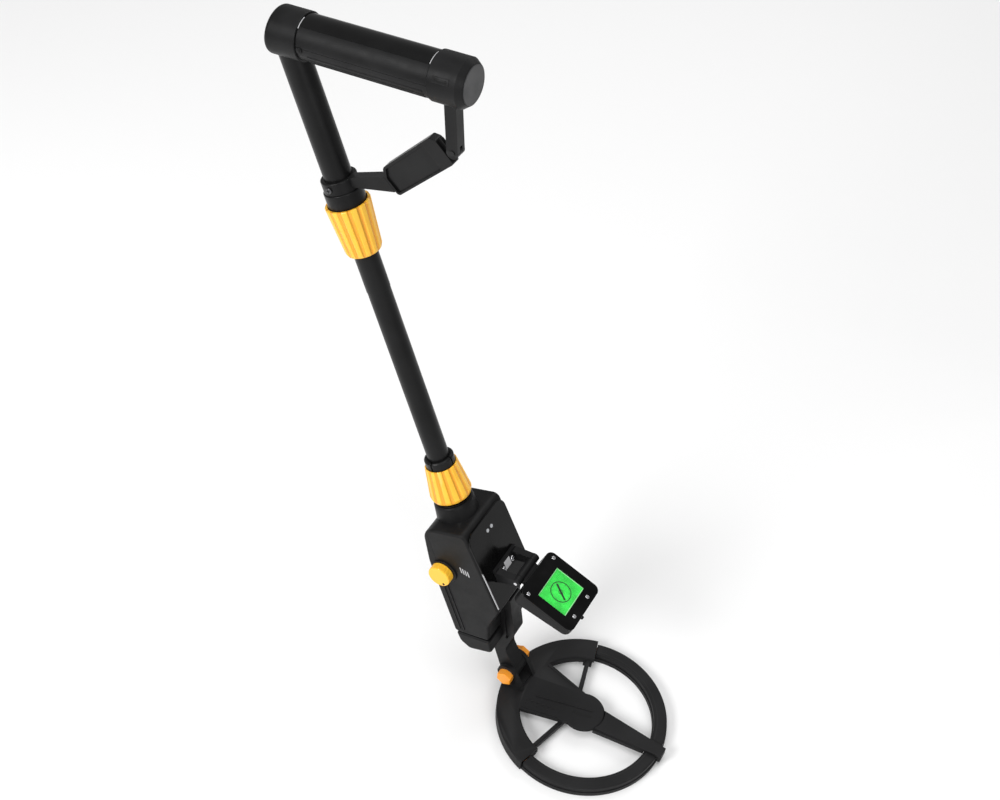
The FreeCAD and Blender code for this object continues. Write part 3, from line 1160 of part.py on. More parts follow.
NODES = {
    "coil_base": coil_base, "coil_winding": coil_winding, "front_cover": front_cover, "coil_cover": coil_cover,
    "front_spine": front_spine, "coil_screws": coil_screws, "hinge_nut": hinge_nut, "hinge_washers": hinge_washers,
    "hinge_knob": hinge_knob, "hinge_bolt": hinge_bolt,
    "pole": pole, "pole_bush": pole_bush, "lower_collar": lower_collar, "upper_collar": upper_collar,
    "upper_tube": upper_tube, "upper_sleeve": upper_sleeve, "rear_cap": rear_cap, "front_cap": front_cap,
    "end_disc": end_disc, "grip_top": grip_top, "grip_bottom": grip_bottom, "grip_screws": grip_screws,
    "brace_post": brace_post, "knee_pin": knee_pin, "brace_paddle": brace_paddle, "brace_arm": brace_arm,
    "arm_screw": arm_screw,
    "neck": neck, "housing": housing, "back_cover": back_cover, "battery_door": battery_door,
    "housing_screws": housing_screws, "front_panel": front_panel, "status_lights": status_lights, "foot": foot,
    "stem": stem, "knob_ring": knob_ring, "knob": knob, "knob_mark": knob_mark, "pot_shaft": pot_shaft,
    "potentiometer": potentiometer, "main_board": main_board, "battery": battery, "battery_clip": battery_clip,
    "speaker": speaker, "display_bracket": display_bracket, "bracket_screws": bracket_screws,
    "display_pin": display_pin, "display_back": display_back, "display_bezel": display_bezel,
    "display_screws": display_screws, "display_window": display_window, "lcd": lcd, "display_board": display_board,
    "display_button": display_button,
}


def main():
    os.makedirs("parts", exist_ok=True)
    for name, make in NODES.items():
        shape = make()
        shape.exportStep("parts/" + name + ".step")
        box = shape.BoundBox
        print("%-16s solids %d valid %s volume %9.1f  x %.1f..%.1f y %.1f..%.1f z %.1f..%.1f" % (
            name, len(shape.Solids), shape.isValid(), shape.Volume, box.XMin, box.XMax, box.YMin, box.YMax,
            box.ZMin, box.ZMax))


main()
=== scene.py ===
import json
import math

import bpy
from mathutils import Matrix, Vector

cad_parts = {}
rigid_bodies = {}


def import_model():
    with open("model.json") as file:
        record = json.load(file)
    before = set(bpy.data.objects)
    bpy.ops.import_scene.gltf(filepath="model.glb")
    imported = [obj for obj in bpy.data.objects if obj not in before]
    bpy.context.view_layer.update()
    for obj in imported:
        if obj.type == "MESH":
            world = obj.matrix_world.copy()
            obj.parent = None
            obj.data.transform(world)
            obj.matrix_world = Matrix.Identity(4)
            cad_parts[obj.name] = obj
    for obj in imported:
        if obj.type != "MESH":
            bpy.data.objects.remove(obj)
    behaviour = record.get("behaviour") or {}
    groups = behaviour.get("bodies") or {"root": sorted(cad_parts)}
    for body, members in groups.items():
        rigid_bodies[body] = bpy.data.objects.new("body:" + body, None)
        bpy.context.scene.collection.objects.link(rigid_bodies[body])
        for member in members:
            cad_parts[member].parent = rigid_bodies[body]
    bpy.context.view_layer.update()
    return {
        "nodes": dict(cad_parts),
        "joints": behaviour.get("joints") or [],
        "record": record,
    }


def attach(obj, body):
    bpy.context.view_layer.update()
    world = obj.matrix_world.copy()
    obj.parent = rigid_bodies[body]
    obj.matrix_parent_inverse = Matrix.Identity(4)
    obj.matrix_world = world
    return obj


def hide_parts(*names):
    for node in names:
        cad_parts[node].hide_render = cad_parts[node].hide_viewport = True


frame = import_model()

bl_info = {
    "name": "Hand-held metal detector",
    "version": (1, 0, 0),
    "blender": (4, 5, 0),
    "location": "View3D > Sidebar > Detector",
    "description": "Models and finishes a small metal detector around its packed CAD frame",
    "category": "Add Mesh",
}

MM = 0.001
FLUTES = 14
JOINTS = {joint["name"]: joint for joint in frame["joints"]}


# ---- frames of the design, read from the joints ----
def basis(origin, x_axis, z_axis):
    """A placement with the given X and Z directions."""
    x = Vector(x_axis).normalized()
    z = Vector(z_axis).normalized()
    y = z.cross(x)
    return Matrix(((x.x, y.x, z.x, origin[0]), (x.y, y.y, z.y, origin[1]),
                   (x.z, y.z, z.z, origin[2]), (0, 0, 0, 1)))


HINGE = Vector(JOINTS["coil_tilt"]["pos_m"])
SHAFT_UP = Vector(JOINTS["telescope"]["axis"]).normalized()
SHAFT_FORWARD = Vector((SHAFT_UP.z, 0, -SHAFT_UP.x))
SHAFT = basis(HINGE, SHAFT_FORWARD, SHAFT_UP)
DISPLAY_HINGE = Vector(JOINTS["display_tilt"]["pos_m"])
FACE_FORWARD = -Vector(JOINTS["display_button_press"]["axis"]).normalized()
DISPLAY = basis(DISPLAY_HINGE, FACE_FORWARD, Vector((-FACE_FORWARD.z, 0, FACE_FORWARD.x)))


def local_box(node, placement):
    """Lowest and highest corners of a CAD node in another frame."""
    turned = placement.inverted()
    mesh = frame["nodes"][node].data
    points = [turned @ v.co for v in mesh.vertices]
    low = Vector([min(p[i] for p in points) for i in range(3)])
    high = Vector([max(p[i] for p in points) for i in range(3)])
    return low, high


GRIP_MOUNT = [mount for mount in frame["record"]["mounts"] if mount["name"] == "grip"][0]
GRIP_UP = Vector(GRIP_MOUNT["axis"]).normalized()
GRIP_MIDDLE = Vector(GRIP_MOUNT["pos_m"])
GRIP = basis(GRIP_MIDDLE, Vector((GRIP_UP.z, 0, -GRIP_UP.x)), GRIP_UP)
# Sizes in metres: the caps' inner edges along the grip from its middle, and the barrel's radius.
CAP_EDGE_REAR = -0.04925
CAP_EDGE_FRONT = 0.05155
BARREL_R = 0.0157
# The sloping front panel's ends, in the shaft's frame.
PANEL_TOP = Vector((0.0264, 0, 0.181))
PANEL_LOW = Vector((0.0342, 0, 0.104))
PANEL_DOWN = (PANEL_LOW - PANEL_TOP).normalized()
PANEL = SHAFT @ basis(PANEL_TOP, PANEL_DOWN, (-PANEL_DOWN.z, 0, PANEL_DOWN.x))
BOX_HALF = 0.029
WEB_TOP = 0.013
SEAT = 0.0003  # depth by which a raised line is sunk into its surface
EDGE_ANGLE = 34.0  # degrees; sharper edges are rounded
SMOOTH_ANGLE = 32.0  # degrees; flatter edges are shaded smooth


# ---- settings ----
class DetectorSizes(bpy.types.PropertyGroup):
    """Sizes of the surface details"""
    edge_round: bpy.props.FloatProperty(
        name="Edge rounding", description="Rounding of moulded edges", default=0.0004,
        min=0.0, unit="LENGTH")
    rail_height: bpy.props.FloatProperty(
        name="Rail height", description="Height of the raised rails on the box's sides", default=0.0007,
        min=0.0, unit="LENGTH")
    ridge_height: bpy.props.FloatProperty(
        name="Ridge height", description="Height of the raised lines on the coil's web", default=0.0008,
        min=0.0, unit="LENGTH")
    insert_rise: bpy.props.FloatProperty(
        name="Grip insert rise", description="How far the glossy grip insert stands proud", default=0.0003,
        min=0.0, unit="LENGTH")
    dial_radius: bpy.props.FloatProperty(
        name="Dial radius", description="Radius of the dial drawn on the screen", default=0.0095,
        min=0.001, unit="LENGTH")


class DetectorColours(bpy.types.PropertyGroup):
    """Colours of the finishes"""
    black: bpy.props.FloatVectorProperty(
        name="Black plastic", description="Moulded black plastic", subtype="COLOR", size=3,
        default=(0.0040, 0.0040, 0.0042), min=0.0, max=1.0)
    amber: bpy.props.FloatVectorProperty(
        name="Amber", description="Twist collars and knob", subtype="COLOR", size=3,
        default=(0.98, 0.50, 0.028), min=0.0, max=1.0)
    orange: bpy.props.FloatVectorProperty(
        name="Orange", description="Hexagonal knob and nut at the coil hinge", subtype="COLOR", size=3,
        default=(0.98, 0.33, 0.018), min=0.0, max=1.0)
    screen: bpy.props.FloatVectorProperty(
        name="Screen", description="Back-lit screen", subtype="COLOR", size=3,
        default=(0.028, 0.50, 0.055), min=0.0, max=1.0)
    floor: bpy.props.FloatVectorProperty(
        name="Floor", description="Pale studio floor", subtype="COLOR", size=3,
        default=(0.93, 0.93, 0.93), min=0.0, max=1.0)


def sizes():
    return bpy.context.scene.detector_sizes


def colours():
    return bpy.context.scene.detector_colours


# ---- materials ----
def new_material(name):
    material = bpy.data.materials.new(name)
    material.use_nodes = True
    tree = material.node_tree
    shader = tree.nodes["Principled BSDF"]
    place = tree.nodes.new("ShaderNodeTexCoord")
    return material, tree, shader, place.outputs["Object"]


def noise(tree, coords, scale, detail=3.0, roughness=0.55, stretch=None):
    """Noise on the piece's own coordinates; stretch is a scale for each axis."""
    if stretch:
        mapping = tree.nodes.new("ShaderNodeMapping")
        mapping.inputs["Scale"].default_value = stretch
        tree.links.new(coords, mapping.inputs["Vector"])
        coords = mapping.outputs["Vector"]
    texture = tree.nodes.new("ShaderNodeTexNoise")
    texture.inputs["Scale"].default_value = scale
    texture.inputs["Detail"].default_value = detail
    texture.inputs["Roughness"].default_value = roughness
    tree.links.new(coords, texture.inputs["Vector"])
    return texture.outputs["Fac"]


def to_range(tree, value, low, high, from_low=0.3, from_high=0.7):
    node = tree.nodes.new("ShaderNodeMapRange")
    node.inputs["From Min"].default_value = from_low
    node.inputs["From Max"].default_value = from_high
    node.inputs["To Min"].default_value = low
    node.inputs["To Max"].default_value = high
    tree.links.new(value, node.inputs["Value"])
    return node.outputs["Result"]


def mixed(tree, factor, first, second):
    node = tree.nodes.new("ShaderNodeMix")
    node.data_type = "RGBA"
    tree.links.new(factor, node.inputs["Factor"])
    for socket, colour in (("A", first), ("B", second)):
        target = [s for s in node.inputs if s.name == socket and s.type == "RGBA"][0]
        if isinstance(colour, bpy.types.NodeSocket):
            tree.links.new(colour, target)
        else:
            target.default_value = (*colour, 1.0)
    return [s for s in node.outputs if s.type == "RGBA"][0]


def bumped(tree, shader, height, distance, strength=1.0, below=None):
    node = tree.nodes.new("ShaderNodeBump")
    node.inputs["Distance"].default_value = distance
    node.inputs["Strength"].default_value = strength
    tree.links.new(height, node.inputs["Height"])
    if below is not None:
        tree.links.new(below, node.inputs["Normal"])
    tree.links.new(node.outputs["Normal"], shader.inputs["Normal"])
    return node.outputs["Normal"]


def edge_highlight_mask(tree, start, end):
    """Factor that is high on sharp convex edges, where a paler colour paints a highlight."""
    geometry = tree.nodes.new("ShaderNodeNewGeometry")
    return to_range(tree, geometry.outputs["Pointiness"], 0.0, 1.0, start, end)


def moulded(name, colour, roughness, grain_mm, grain_depth_mm, lift=0.35, edge_highlight=0.25, streaks=None, coat=0.0,
            sheen=0.5):
    """Injection-moulded plastic: fine grain, cloudy gloss, and a painted highlight that makes sharp edges
    slightly paler.
    """
    material, tree, shader, coords = new_material(name)
    cloud = noise(tree, coords, 38.0, 4.0)
    paler = tuple(min(1.0, c * (1.0 + lift) + 0.003) for c in colour)
    base = mixed(tree, to_range(tree, cloud, 0.0, 1.0), colour, paler)
    # Painted highlight: sharp convex edges are mixed towards a paler colour.
    edge = edge_highlight_mask(tree, 0.54, 0.62)
    scaled = to_range(tree, edge, 0.0, edge_highlight, 0.0, 1.0)
    highlight_tip = tuple(min(1.0, c * 1.25 + 0.035) for c in colour)
    tree.links.new(mixed(tree, scaled, base, highlight_tip), shader.inputs["Base Color"])
    smudge = noise(tree, coords, 75.0, 5.0, 0.6, streaks)
    tree.links.new(to_range(tree, smudge, roughness - 0.07, roughness + 0.09), shader.inputs["Roughness"])
    wave = bumped(tree, shader, cloud, 0.00012, 0.35)
    grain = noise(tree, coords, 1000.0 / grain_mm, 2.0, 0.5, streaks)
    bumped(tree, shader, grain, grain_depth_mm * MM, 1.0, wave)
    shader.inputs["IOR"].default_value = 1.5
    shader.inputs["Specular IOR Level"].default_value = sheen
    shader.inputs["Coat Weight"].default_value = coat
    shader.inputs["Coat Roughness"].default_value = 0.12
    return material


def fluted_amber(name, colour, depth):
    """Amber plastic with painted shade in the flutes that run along the shaft, and a painted highlight on
    sharp edges.
    """
    material, tree, shader, coords = new_material(name)
    turned = tree.nodes.new("ShaderNodeMapping")
    turned.vector_type = "TEXTURE"
    turned.inputs["Location"].default_value = SHAFT.translation
    turned.inputs["Rotation"].default_value = SHAFT.to_euler()
    tree.links.new(coords, turned.inputs["Vector"])
    round_shaft = tree.nodes.new("ShaderNodeTexGradient")
    round_shaft.gradient_type = "RADIAL"
    tree.links.new(turned.outputs["Vector"], round_shaft.inputs["Vector"])
    angle = tree.nodes.new("ShaderNodeMath")
    angle.operation = "MULTIPLY"
    angle.inputs[1].default_value = 2 * math.pi * FLUTES
    tree.links.new(round_shaft.outputs["Fac"], angle.inputs[0])
    wave = tree.nodes.new("ShaderNodeMath")
    wave.operation = "COSINE"
    tree.links.new(angle.outputs["Value"], wave.inputs[0])
    groove = to_range(tree, wave.outputs["Value"], 0.0, 1.0, 0.1, 0.95)
    cloud = noise(tree, coords, 60.0, 4.0)
    bright = tuple(min(1.0, c * 1.12 + 0.01) for c in colour)
    base = mixed(tree, to_range(tree, cloud, 0.0, 1.0), colour, bright)
    # Painted highlight: sharp convex edges are mixed towards a pale amber.
    edge = edge_highlight_mask(tree, 0.53, 0.62)
    paler = mixed(tree, to_range(tree, edge, 0.0, 0.5, 0.0, 1.0), base, (1.0, 0.62, 0.16))
    # Painted shade: the colour darkens into the flutes' grooves.
    deep = (colour[0] * 0.88, colour[1] * 0.70, colour[2] * 0.5)
    tree.links.new(mixed(tree, groove, paler, deep), shader.inputs["Base Color"])
    below = bumped(tree, shader, to_range(tree, groove, 1.0, 0.0, 0.0, 1.0), depth, 0.8)
    grain = noise(tree, coords, 900.0, 2.0)
    bumped(tree, shader, grain, 0.000012, 0.8, below)
    tree.links.new(to_range(tree, cloud, 0.32, 0.46), shader.inputs["Roughness"])
    shader.inputs["Coat Weight"].default_value = 0.15
    return material


def bright_metal(name, colour, roughness):
    """Plated steel with fine scratches."""
    material, tree, shader, coords = new_material(name)
    scratches = noise(tree, coords, 900.0, 4.0, 0.7, (1.0, 6.0, 1.0))
    dull = tuple(c * 0.72 for c in colour)
    tint = mixed(tree, to_range(tree, scratches, 0.0, 1.0), colour, dull)
    tree.links.new(tint, shader.inputs["Base Color"])
    tree.links.new(to_range(tree, scratches, roughness, roughness + 0.18), shader.inputs["Roughness"])
    bumped(tree, shader, scratches, 0.00002, 0.6)
    shader.inputs["Metallic"].default_value = 1.0
    return material


def wound_copper():
    """Turns of enamelled wire round the coil."""
    material, tree, shader, coords = new_material("wound_copper")
    turns = tree.nodes.new("ShaderNodeTexWave")
    turns.wave_type = "RINGS"
    turns.rings_direction = "Z"
    turns.inputs["Scale"].default_value = 620.0
    tree.links.new(coords, turns.inputs["Vector"])
    tint = mixed(tree, turns.outputs["Fac"], (0.36, 0.10, 0.03), (0.72, 0.30, 0.12))
    tree.links.new(tint, shader.inputs["Base Color"])
    bumped(tree, shader, turns.outputs["Fac"], 0.0002, 0.8)
    shader.inputs["Metallic"].default_value = 0.9
    shader.inputs["Roughness"].default_value = 0.3
    return material


def circuit_board():
    """Green lacquer with paler tracks."""
    material, tree, shader, coords = new_material("circuit_board")
    tracks = tree.nodes.new("ShaderNodeTexVoronoi")
    tracks.feature = "DISTANCE_TO_EDGE"
    tracks.inputs["Scale"].default_value = 260.0
    tree.links.new(coords, tracks.inputs["Vector"])
    lines = to_range(tree, tracks.outputs["Distance"], 1.0, 0.0, 0.02, 0.08)
    tree.links.new(mixed(tree, lines, (0.01, 0.10, 0.03), (0.04, 0.26, 0.09)), shader.inputs["Base Color"])
    bumped(tree, shader, lines, 0.00005, 0.6)
    shader.inputs["Roughness"].default_value = 0.35
    return material


def lit_screen():
    """Back-lit liquid crystal: cloudy green light with fine dots."""
    material, tree, shader, coords = new_material("lit_screen")
    green = tuple(colours().screen)
    cloud = noise(tree, coords, 95.0, 3.0)
    dots = noise(tree, coords, 2600.0, 1.0)
    deep = tuple(c * 0.62 for c in green)
    tint = mixed(tree, to_range(tree, cloud, 0.0, 1.0, 0.35, 0.65), deep, green)
    bright = tuple(min(1.0, c * 1.5 + 0.02) for c in green)
    fine = mixed(tree, to_range(tree, dots, 0.0, 0.35), tint, bright)
    tree.links.new(fine, shader.inputs["Base Color"])
    tree.links.new(fine, shader.inputs["Emission Color"])
    tree.links.new(to_range(tree, dots, 0.22, 0.34), shader.inputs["Roughness"])
    bumped(tree, shader, dots, 0.00001, 0.4)
    shader.inputs["Emission Strength"].default_value = 0.55
    return material


def clear_window():
    material, tree, shader, coords = new_material("clear_window")
    haze = noise(tree, coords, 320.0, 4.0)
    tree.links.new(to_range(tree, haze, 0.03, 0.10), shader.inputs["Roughness"])
    shader.inputs["Base Color"].default_value = (0.97, 1.0, 0.97, 1.0)
    shader.inputs["Transmission Weight"].default_value = 1.0
    shader.inputs["IOR"].default_value = 1.02
    shader.inputs["Alpha"].default_value = 0.18
    return material


def painted_can():
    """Battery wrap: dark grey film with paler scuffs."""
    material, tree, shader, coords = new_material("painted_can")
    scuffs = noise(tree, coords, 180.0, 6.0, 0.7)
    tint = mixed(tree, to_range(tree, scuffs, 0.0, 1.0), (0.09, 0.09, 0.10), (0.20, 0.20, 0.21))
    tree.links.new(tint, shader.inputs["Base Color"])
    tree.links.new(to_range(tree, scuffs, 0.25, 0.45), shader.inputs["Roughness"])
    bumped(tree, shader, scuffs, 0.00003, 0.5)
    shader.inputs["Metallic"].default_value = 0.4
    return material


def studio_floor():
    material, tree, shader, coords = new_material("studio_floor")
    cloud = noise(tree, coords, 3.0, 3.0)
    pale = tuple(colours().floor)
    tree.links.new(mixed(tree, cloud, pale, tuple(c * 0.985 for c in pale)), shader.inputs["Base Color"])
    shader.inputs["Roughness"].default_value = 0.85
    return material


MATERIALS = {}


def make_materials():
    black = tuple(colours().black)
    amber = tuple(colours().amber)
    orange = tuple(colours().orange)
    dark = tuple(c * 0.35 for c in black)
    shell = tuple(c * 1.3 for c in black)
    coil = tuple(c * 1.7 for c in black)
    # Painted light: the end disc's grey is far lighter than the black because its face catches the light.
    grey = tuple(c * 7.0 for c in black)
    along_shaft = (1.0, 1.0, 0.35)
    MATERIALS.update({
        "shaft_black": moulded("shaft_black", black, 0.34, 0.9, 0.010, streaks=along_shaft, sheen=0.17),
        "shell_black": moulded("shell_black", shell, 0.44, 0.55, 0.03, sheen=0.15),
        "gloss_black": moulded("gloss_black", dark, 0.16, 1.6, 0.002, lift=0.15, edge_highlight=0.12, sheen=0.14),
        "coil_black": moulded("coil_black", coil, 0.55, 0.6, 0.06, lift=0.7, sheen=0.15),
        "end_grey": moulded("end_grey", grey, 0.40, 0.5, 0.02, sheen=0.4),
        "amber": moulded("amber", amber, 0.36, 0.8, 0.012, lift=0.10, edge_highlight=0.35, coat=0.15),
        "amber_fluted": fluted_amber("amber_fluted", amber, 0.0009),
        "orange": moulded("orange", orange, 0.33, 0.8, 0.012, lift=0.12, edge_highlight=0.30, coat=0.15),
        "black_steel": bright_metal("black_steel", (0.11, 0.11, 0.115), 0.3),
        "steel": bright_metal("steel", (0.82, 0.82, 0.84), 0.16),
        "copper": wound_copper(),
        "board_green": circuit_board(),
        "lcd_green": lit_screen(),
        "window_clear": clear_window(),
        # The pale grey of the two small lights at the panel's top is partly a painted highlight, set to the
        # glint there.
        "light_white": moulded("light_white", (0.40, 0.41, 0.43), 0.18, 1.2, 0.004, lift=0.05, edge_highlight=0.1,
                               coat=0.4),
        "battery_case": painted_can(),
        "speaker_black": moulded("speaker_black", (0.02, 0.02, 0.02), 0.6, 0.4, 0.05),
        "mark_grey": moulded("mark_grey", (0.42, 0.42, 0.43), 0.4, 0.5, 0.01, lift=0.1, edge_highlight=0.1),
        # Near-black for the painted shade in the catch's slot and the hub's slot.
        "slot_shade_black": moulded("slot_shade_black", (0.002, 0.002, 0.002), 0.5, 0.5, 0.005, lift=0.1, edge_highlight=0.0,
                              sheen=0.2),
        "mark_dark": moulded("mark_dark", (0.01, 0.02, 0.012), 0.4, 0.5, 0.005, lift=0.1, edge_highlight=0.0),
        "edge_green": moulded("edge_green", (0.35, 0.85, 0.38), 0.4, 0.5, 0.005, lift=0.1, edge_highlight=0.0),
    })


def slot_name(node):
    for entry in frame["record"]["subparts"]:
        if entry["node"] == node:
            return entry["material_slot"]
    raise RuntimeError("no material slot for " + node)


# ---- modelling helpers ----
def clear_selection():
    if bpy.context.object and bpy.context.object.mode != "OBJECT":
        bpy.ops.object.mode_set(mode="OBJECT")
    bpy.ops.object.select_all(action="DESELECT")


def pick(obj):
    clear_selection()
    obj.select_set(True)
    bpy.context.view_layer.objects.active = obj


def add_modifier(obj, kind, **settings):
    """Adds a modifier and applies it at once."""
    pick(obj)
    modifier = obj.modifiers.new(kind.lower(), kind)
    for key, value in settings.items():
        setattr(modifier, key, value)
    bpy.ops.object.modifier_apply(modifier=modifier.name)


def round_edges(obj, width, angle=EDGE_ANGLE):
    """Bevels every edge sharper than the angle."""
    add_modifier(obj, "BEVEL", width=width, segments=2, limit_method="ANGLE",
                 angle_limit=math.radians(angle), miter_outer="MITER_ARC", use_clamp_overlap=True)


def smooth(obj):
    pick(obj)
    bpy.ops.object.shade_smooth_by_angle(angle=math.radians(SMOOTH_ANGLE))


def settle(obj, placement):
    """Puts a piece modelled about the world's origin at its place, with the place in its mesh."""
    pick(obj)
    obj.matrix_world = placement @ obj.matrix_world
    bpy.ops.object.transform_apply(location=True, rotation=True, scale=True)


def give(obj, name, body, material, replaced=()):
    """Names a finished piece and says what it rides on, its finish and the nodes it stands for."""
    obj.name = name
    obj.data.name = name
    obj.data.materials.clear()
    obj.data.materials.append(MATERIALS[material])
    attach(obj, body)
    if replaced:
        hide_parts(*replaced)


def body_of_node(node):
    for body, nodes in frame["record"]["behaviour"]["bodies"].items():
        if node in nodes:
            return body
    raise RuntimeError("no body for " + node)


def moulded_copy(node, rounding=None, angle=EDGE_ANGLE, material=None):
    """A finished copy of a CAD node: triangles merged, edges rounded and curves smooth."""
    pick(frame["nodes"][node])
    bpy.ops.object.duplicate()
    copy = bpy.context.object
    bpy.ops.object.parent_clear(type="CLEAR_KEEP_TRANSFORM")
    bpy.ops.object.mode_set(mode="EDIT")
    bpy.ops.mesh.select_all(action="SELECT")
    bpy.ops.mesh.remove_doubles(threshold=2e-6)
    bpy.ops.mesh.dissolve_limited(angle_limit=math.radians(0.4))
    bpy.ops.object.mode_set(mode="OBJECT")
    width = sizes().edge_round if rounding is None else rounding
    if width > 0:
        round_edges(copy, width, angle)
    smooth(copy)
    add_modifier(copy, "WEIGHTED_NORMAL", keep_sharp=True, weight=80)
    slot = slot_name(node)
    give(copy, node + "_finished", body_of_node(node), material or slot, [node])


def bar(low, high, rounding=0.0002):
    """A rounded bar between two corners, about the world's origin."""
    low, high = Vector(low), Vector(high)
    clear_selection()
    bpy.ops.mesh.primitive_cube_add(size=1.0, location=(low + high) / 2, scale=high - low)
    obj = bpy.context.object
    bpy.ops.object.transform_apply(location=True, rotation=True, scale=True)
    round_edges(obj, rounding)
    return obj


def disc(radius, depth, rounding):
    """A round disc with rounded edges, about the world's origin."""
    clear_selection()
    bpy.ops.mesh.primitive_cylinder_add(vertices=48, radius=radius, depth=depth, location=(0, 0, 0))
    obj = bpy.context.object
    bpy.ops.object.transform_apply(location=True, rotation=True, scale=True)
    round_edges(obj, rounding)
    return obj


def hoop(radius, thickness, centre, height):
    """A flat ring: a disc whose faces are inset and bridged through."""
    clear_selection()
    bpy.ops.mesh.primitive_cylinder_add(vertices=120, radius=radius, depth=height, location=centre)
    obj = bpy.context.object
    bpy.ops.object.transform_apply(location=True, rotation=True, scale=True)
    bpy.ops.object.mode_set(mode="EDIT")
    bpy.ops.mesh.select_mode(type="FACE")
    bpy.ops.mesh.select_all(action="DESELECT")
    bpy.ops.object.mode_set(mode="OBJECT")
    for face in obj.data.polygons:
        face.select = abs(face.normal.z) > 0.9
    bpy.ops.object.mode_set(mode="EDIT")
    bpy.ops.mesh.inset(thickness=thickness)
    bpy.ops.mesh.bridge_edge_loops()
    bpy.ops.object.mode_set(mode="OBJECT")
    return obj


def cut_away(obj, normal):
    """Cuts off everything past a plane through the world's origin and closes the cut."""
    pick(obj)
    bpy.ops.object.mode_set(mode="EDIT")
    bpy.ops.mesh.select_all(action="SELECT")
    bpy.ops.mesh.bisect(plane_co=(0, 0, 0), plane_no=normal, use_fill=True, clear_outer=True)
    bpy.ops.object.mode_set(mode="OBJECT")


def round_strip(radius, thickness, start, end, x0, x1):
    """Part of a tube's wall about the X axis, between two angles from straight up (towards +Y)."""
    obj = hoop(radius, thickness, (0, 0, 0), x1 - x0)
    settle(obj, Matrix.Translation(((x0 + x1) / 2, 0, 0)) @ Matrix.Rotation(math.pi / 2, 4, "Y"))
    for angle, side in ((math.radians(end), 1), (math.radians(start), -1)):
        cut_away(obj, (0, side * math.cos(angle), -side * math.sin(angle)))
    return obj


def joined(objects):
    clear_selection()
    for obj in objects:
        obj.select_set(True)
    bpy.context.view_layer.objects.active = objects[0]
    if len(objects) > 1:
        bpy.ops.object.join()
    return bpy.context.object


# ---- the stage ----
CAMERA_PLACE = Matrix(((0.8666, -0.4058, 0.2902, 0.21059), (0.4929, 0.6059, -0.6244, -0.70328),
                       (0.0775, 0.6842, 0.7252, 1.16740), (0, 0, 0, 1)))
CAMERA_LENS = 53.84


class DETECTOR_OT_stage(bpy.types.Operator):
    """Pale floor, soft studio light and the camera"""
    bl_idname = "detector.stage"
    bl_label = "Stage"

    def execute(self, context):
        clear_selection()
        bpy.ops.mesh.primitive_plane_add(size=14.0, location=(0, 0, 0))
        floor = bpy.context.object
        floor.name = "studio_floor"
        floor.data.materials.append(studio_floor())
        self.camera(context)
        self.light("key_light", (-1.0, -1.9, 1.7), (-0.1, 0, 0.3), 1.1, 40.0)
        self.light("fill_light", (1.6, -1.4, 1.3), (-0.1, 0, 0.2), 1.4, 16.0)
        self.light("rim_light", (-0.4, 2.0, 1.9), (-0.1, 0, 0.3), 1.4, 14.0)
        self.light("top_light", (-0.2, -0.1, 2.6), (-0.1, 0, 0.2), 2.0, 24.0)
        world = bpy.data.worlds.new("studio")
        context.scene.world = world
        world.use_nodes = True
        back = world.node_tree.nodes["Background"]
        back.inputs["Color"].default_value = (1.0, 1.0, 1.0, 1.0)
        back.inputs["Strength"].default_value = 0.34
        context.scene.view_settings.view_transform = "Standard"
        return {"FINISHED"}

    def camera(self, context):
        data = bpy.data.cameras.new("camera")
        data.sensor_width = 36.0
        data.lens = CAMERA_LENS
        data.clip_start = 0.02
        camera = bpy.data.objects.new("camera", data)
        context.scene.collection.objects.link(camera)
        place = CAMERA_PLACE.to_3x3().to_quaternion().to_matrix().to_4x4()
        place.translation = CAMERA_PLACE.translation
        camera.matrix_world = place
        context.scene.camera = camera

    def light(self, name, place, target, size, power):
        data = bpy.data.lights.new(name, "AREA")
        data.shape = "DISK"
        data.size = size
        data.energy = power
        lamp = bpy.data.objects.new(name, data)
        bpy.context.scene.collection.objects.link(lamp)
        lamp.location = place
        aim = Vector(target) - Vector(place)
        lamp.rotation_euler = aim.to_track_quat("-Z", "Y").to_euler()


class DETECTOR_OT_finishes(bpy.types.Operator):
    """Gives every CAD piece the finish of its material slot"""
    bl_idname = "detector.finishes"
    bl_label = "Finishes"

    def execute(self, context):
        make_materials()
        for node, obj in frame["nodes"].items():
            material = MATERIALS[slot_name(node)]
            if not obj.material_slots:
                obj.data.materials.append(material)
            for place in obj.material_slots:
                place.material = material
        return {"FINISHED"}


class DETECTOR_OT_shaft(bpy.types.Operator):
    """Upper tube, pole, sleeve and neck"""
    bl_idname = "detector.shaft"
    bl_label = "Shaft"

    def execute(self, context):
        for node in ("upper_tube", "pole", "upper_sleeve", "neck"):
            moulded_copy(node)
        return {"FINISHED"}


class DETECTOR_OT_collars(bpy.types.Operator):
    """The two fluted twist collars"""
    bl_idname = "detector.collars"
    bl_label = "Twist collars"

    def execute(self, context):
        for node in ("upper_collar", "lower_collar"):
            moulded_copy(node, 0.0005, 12.0, "amber_fluted")
        return {"FINISHED"}


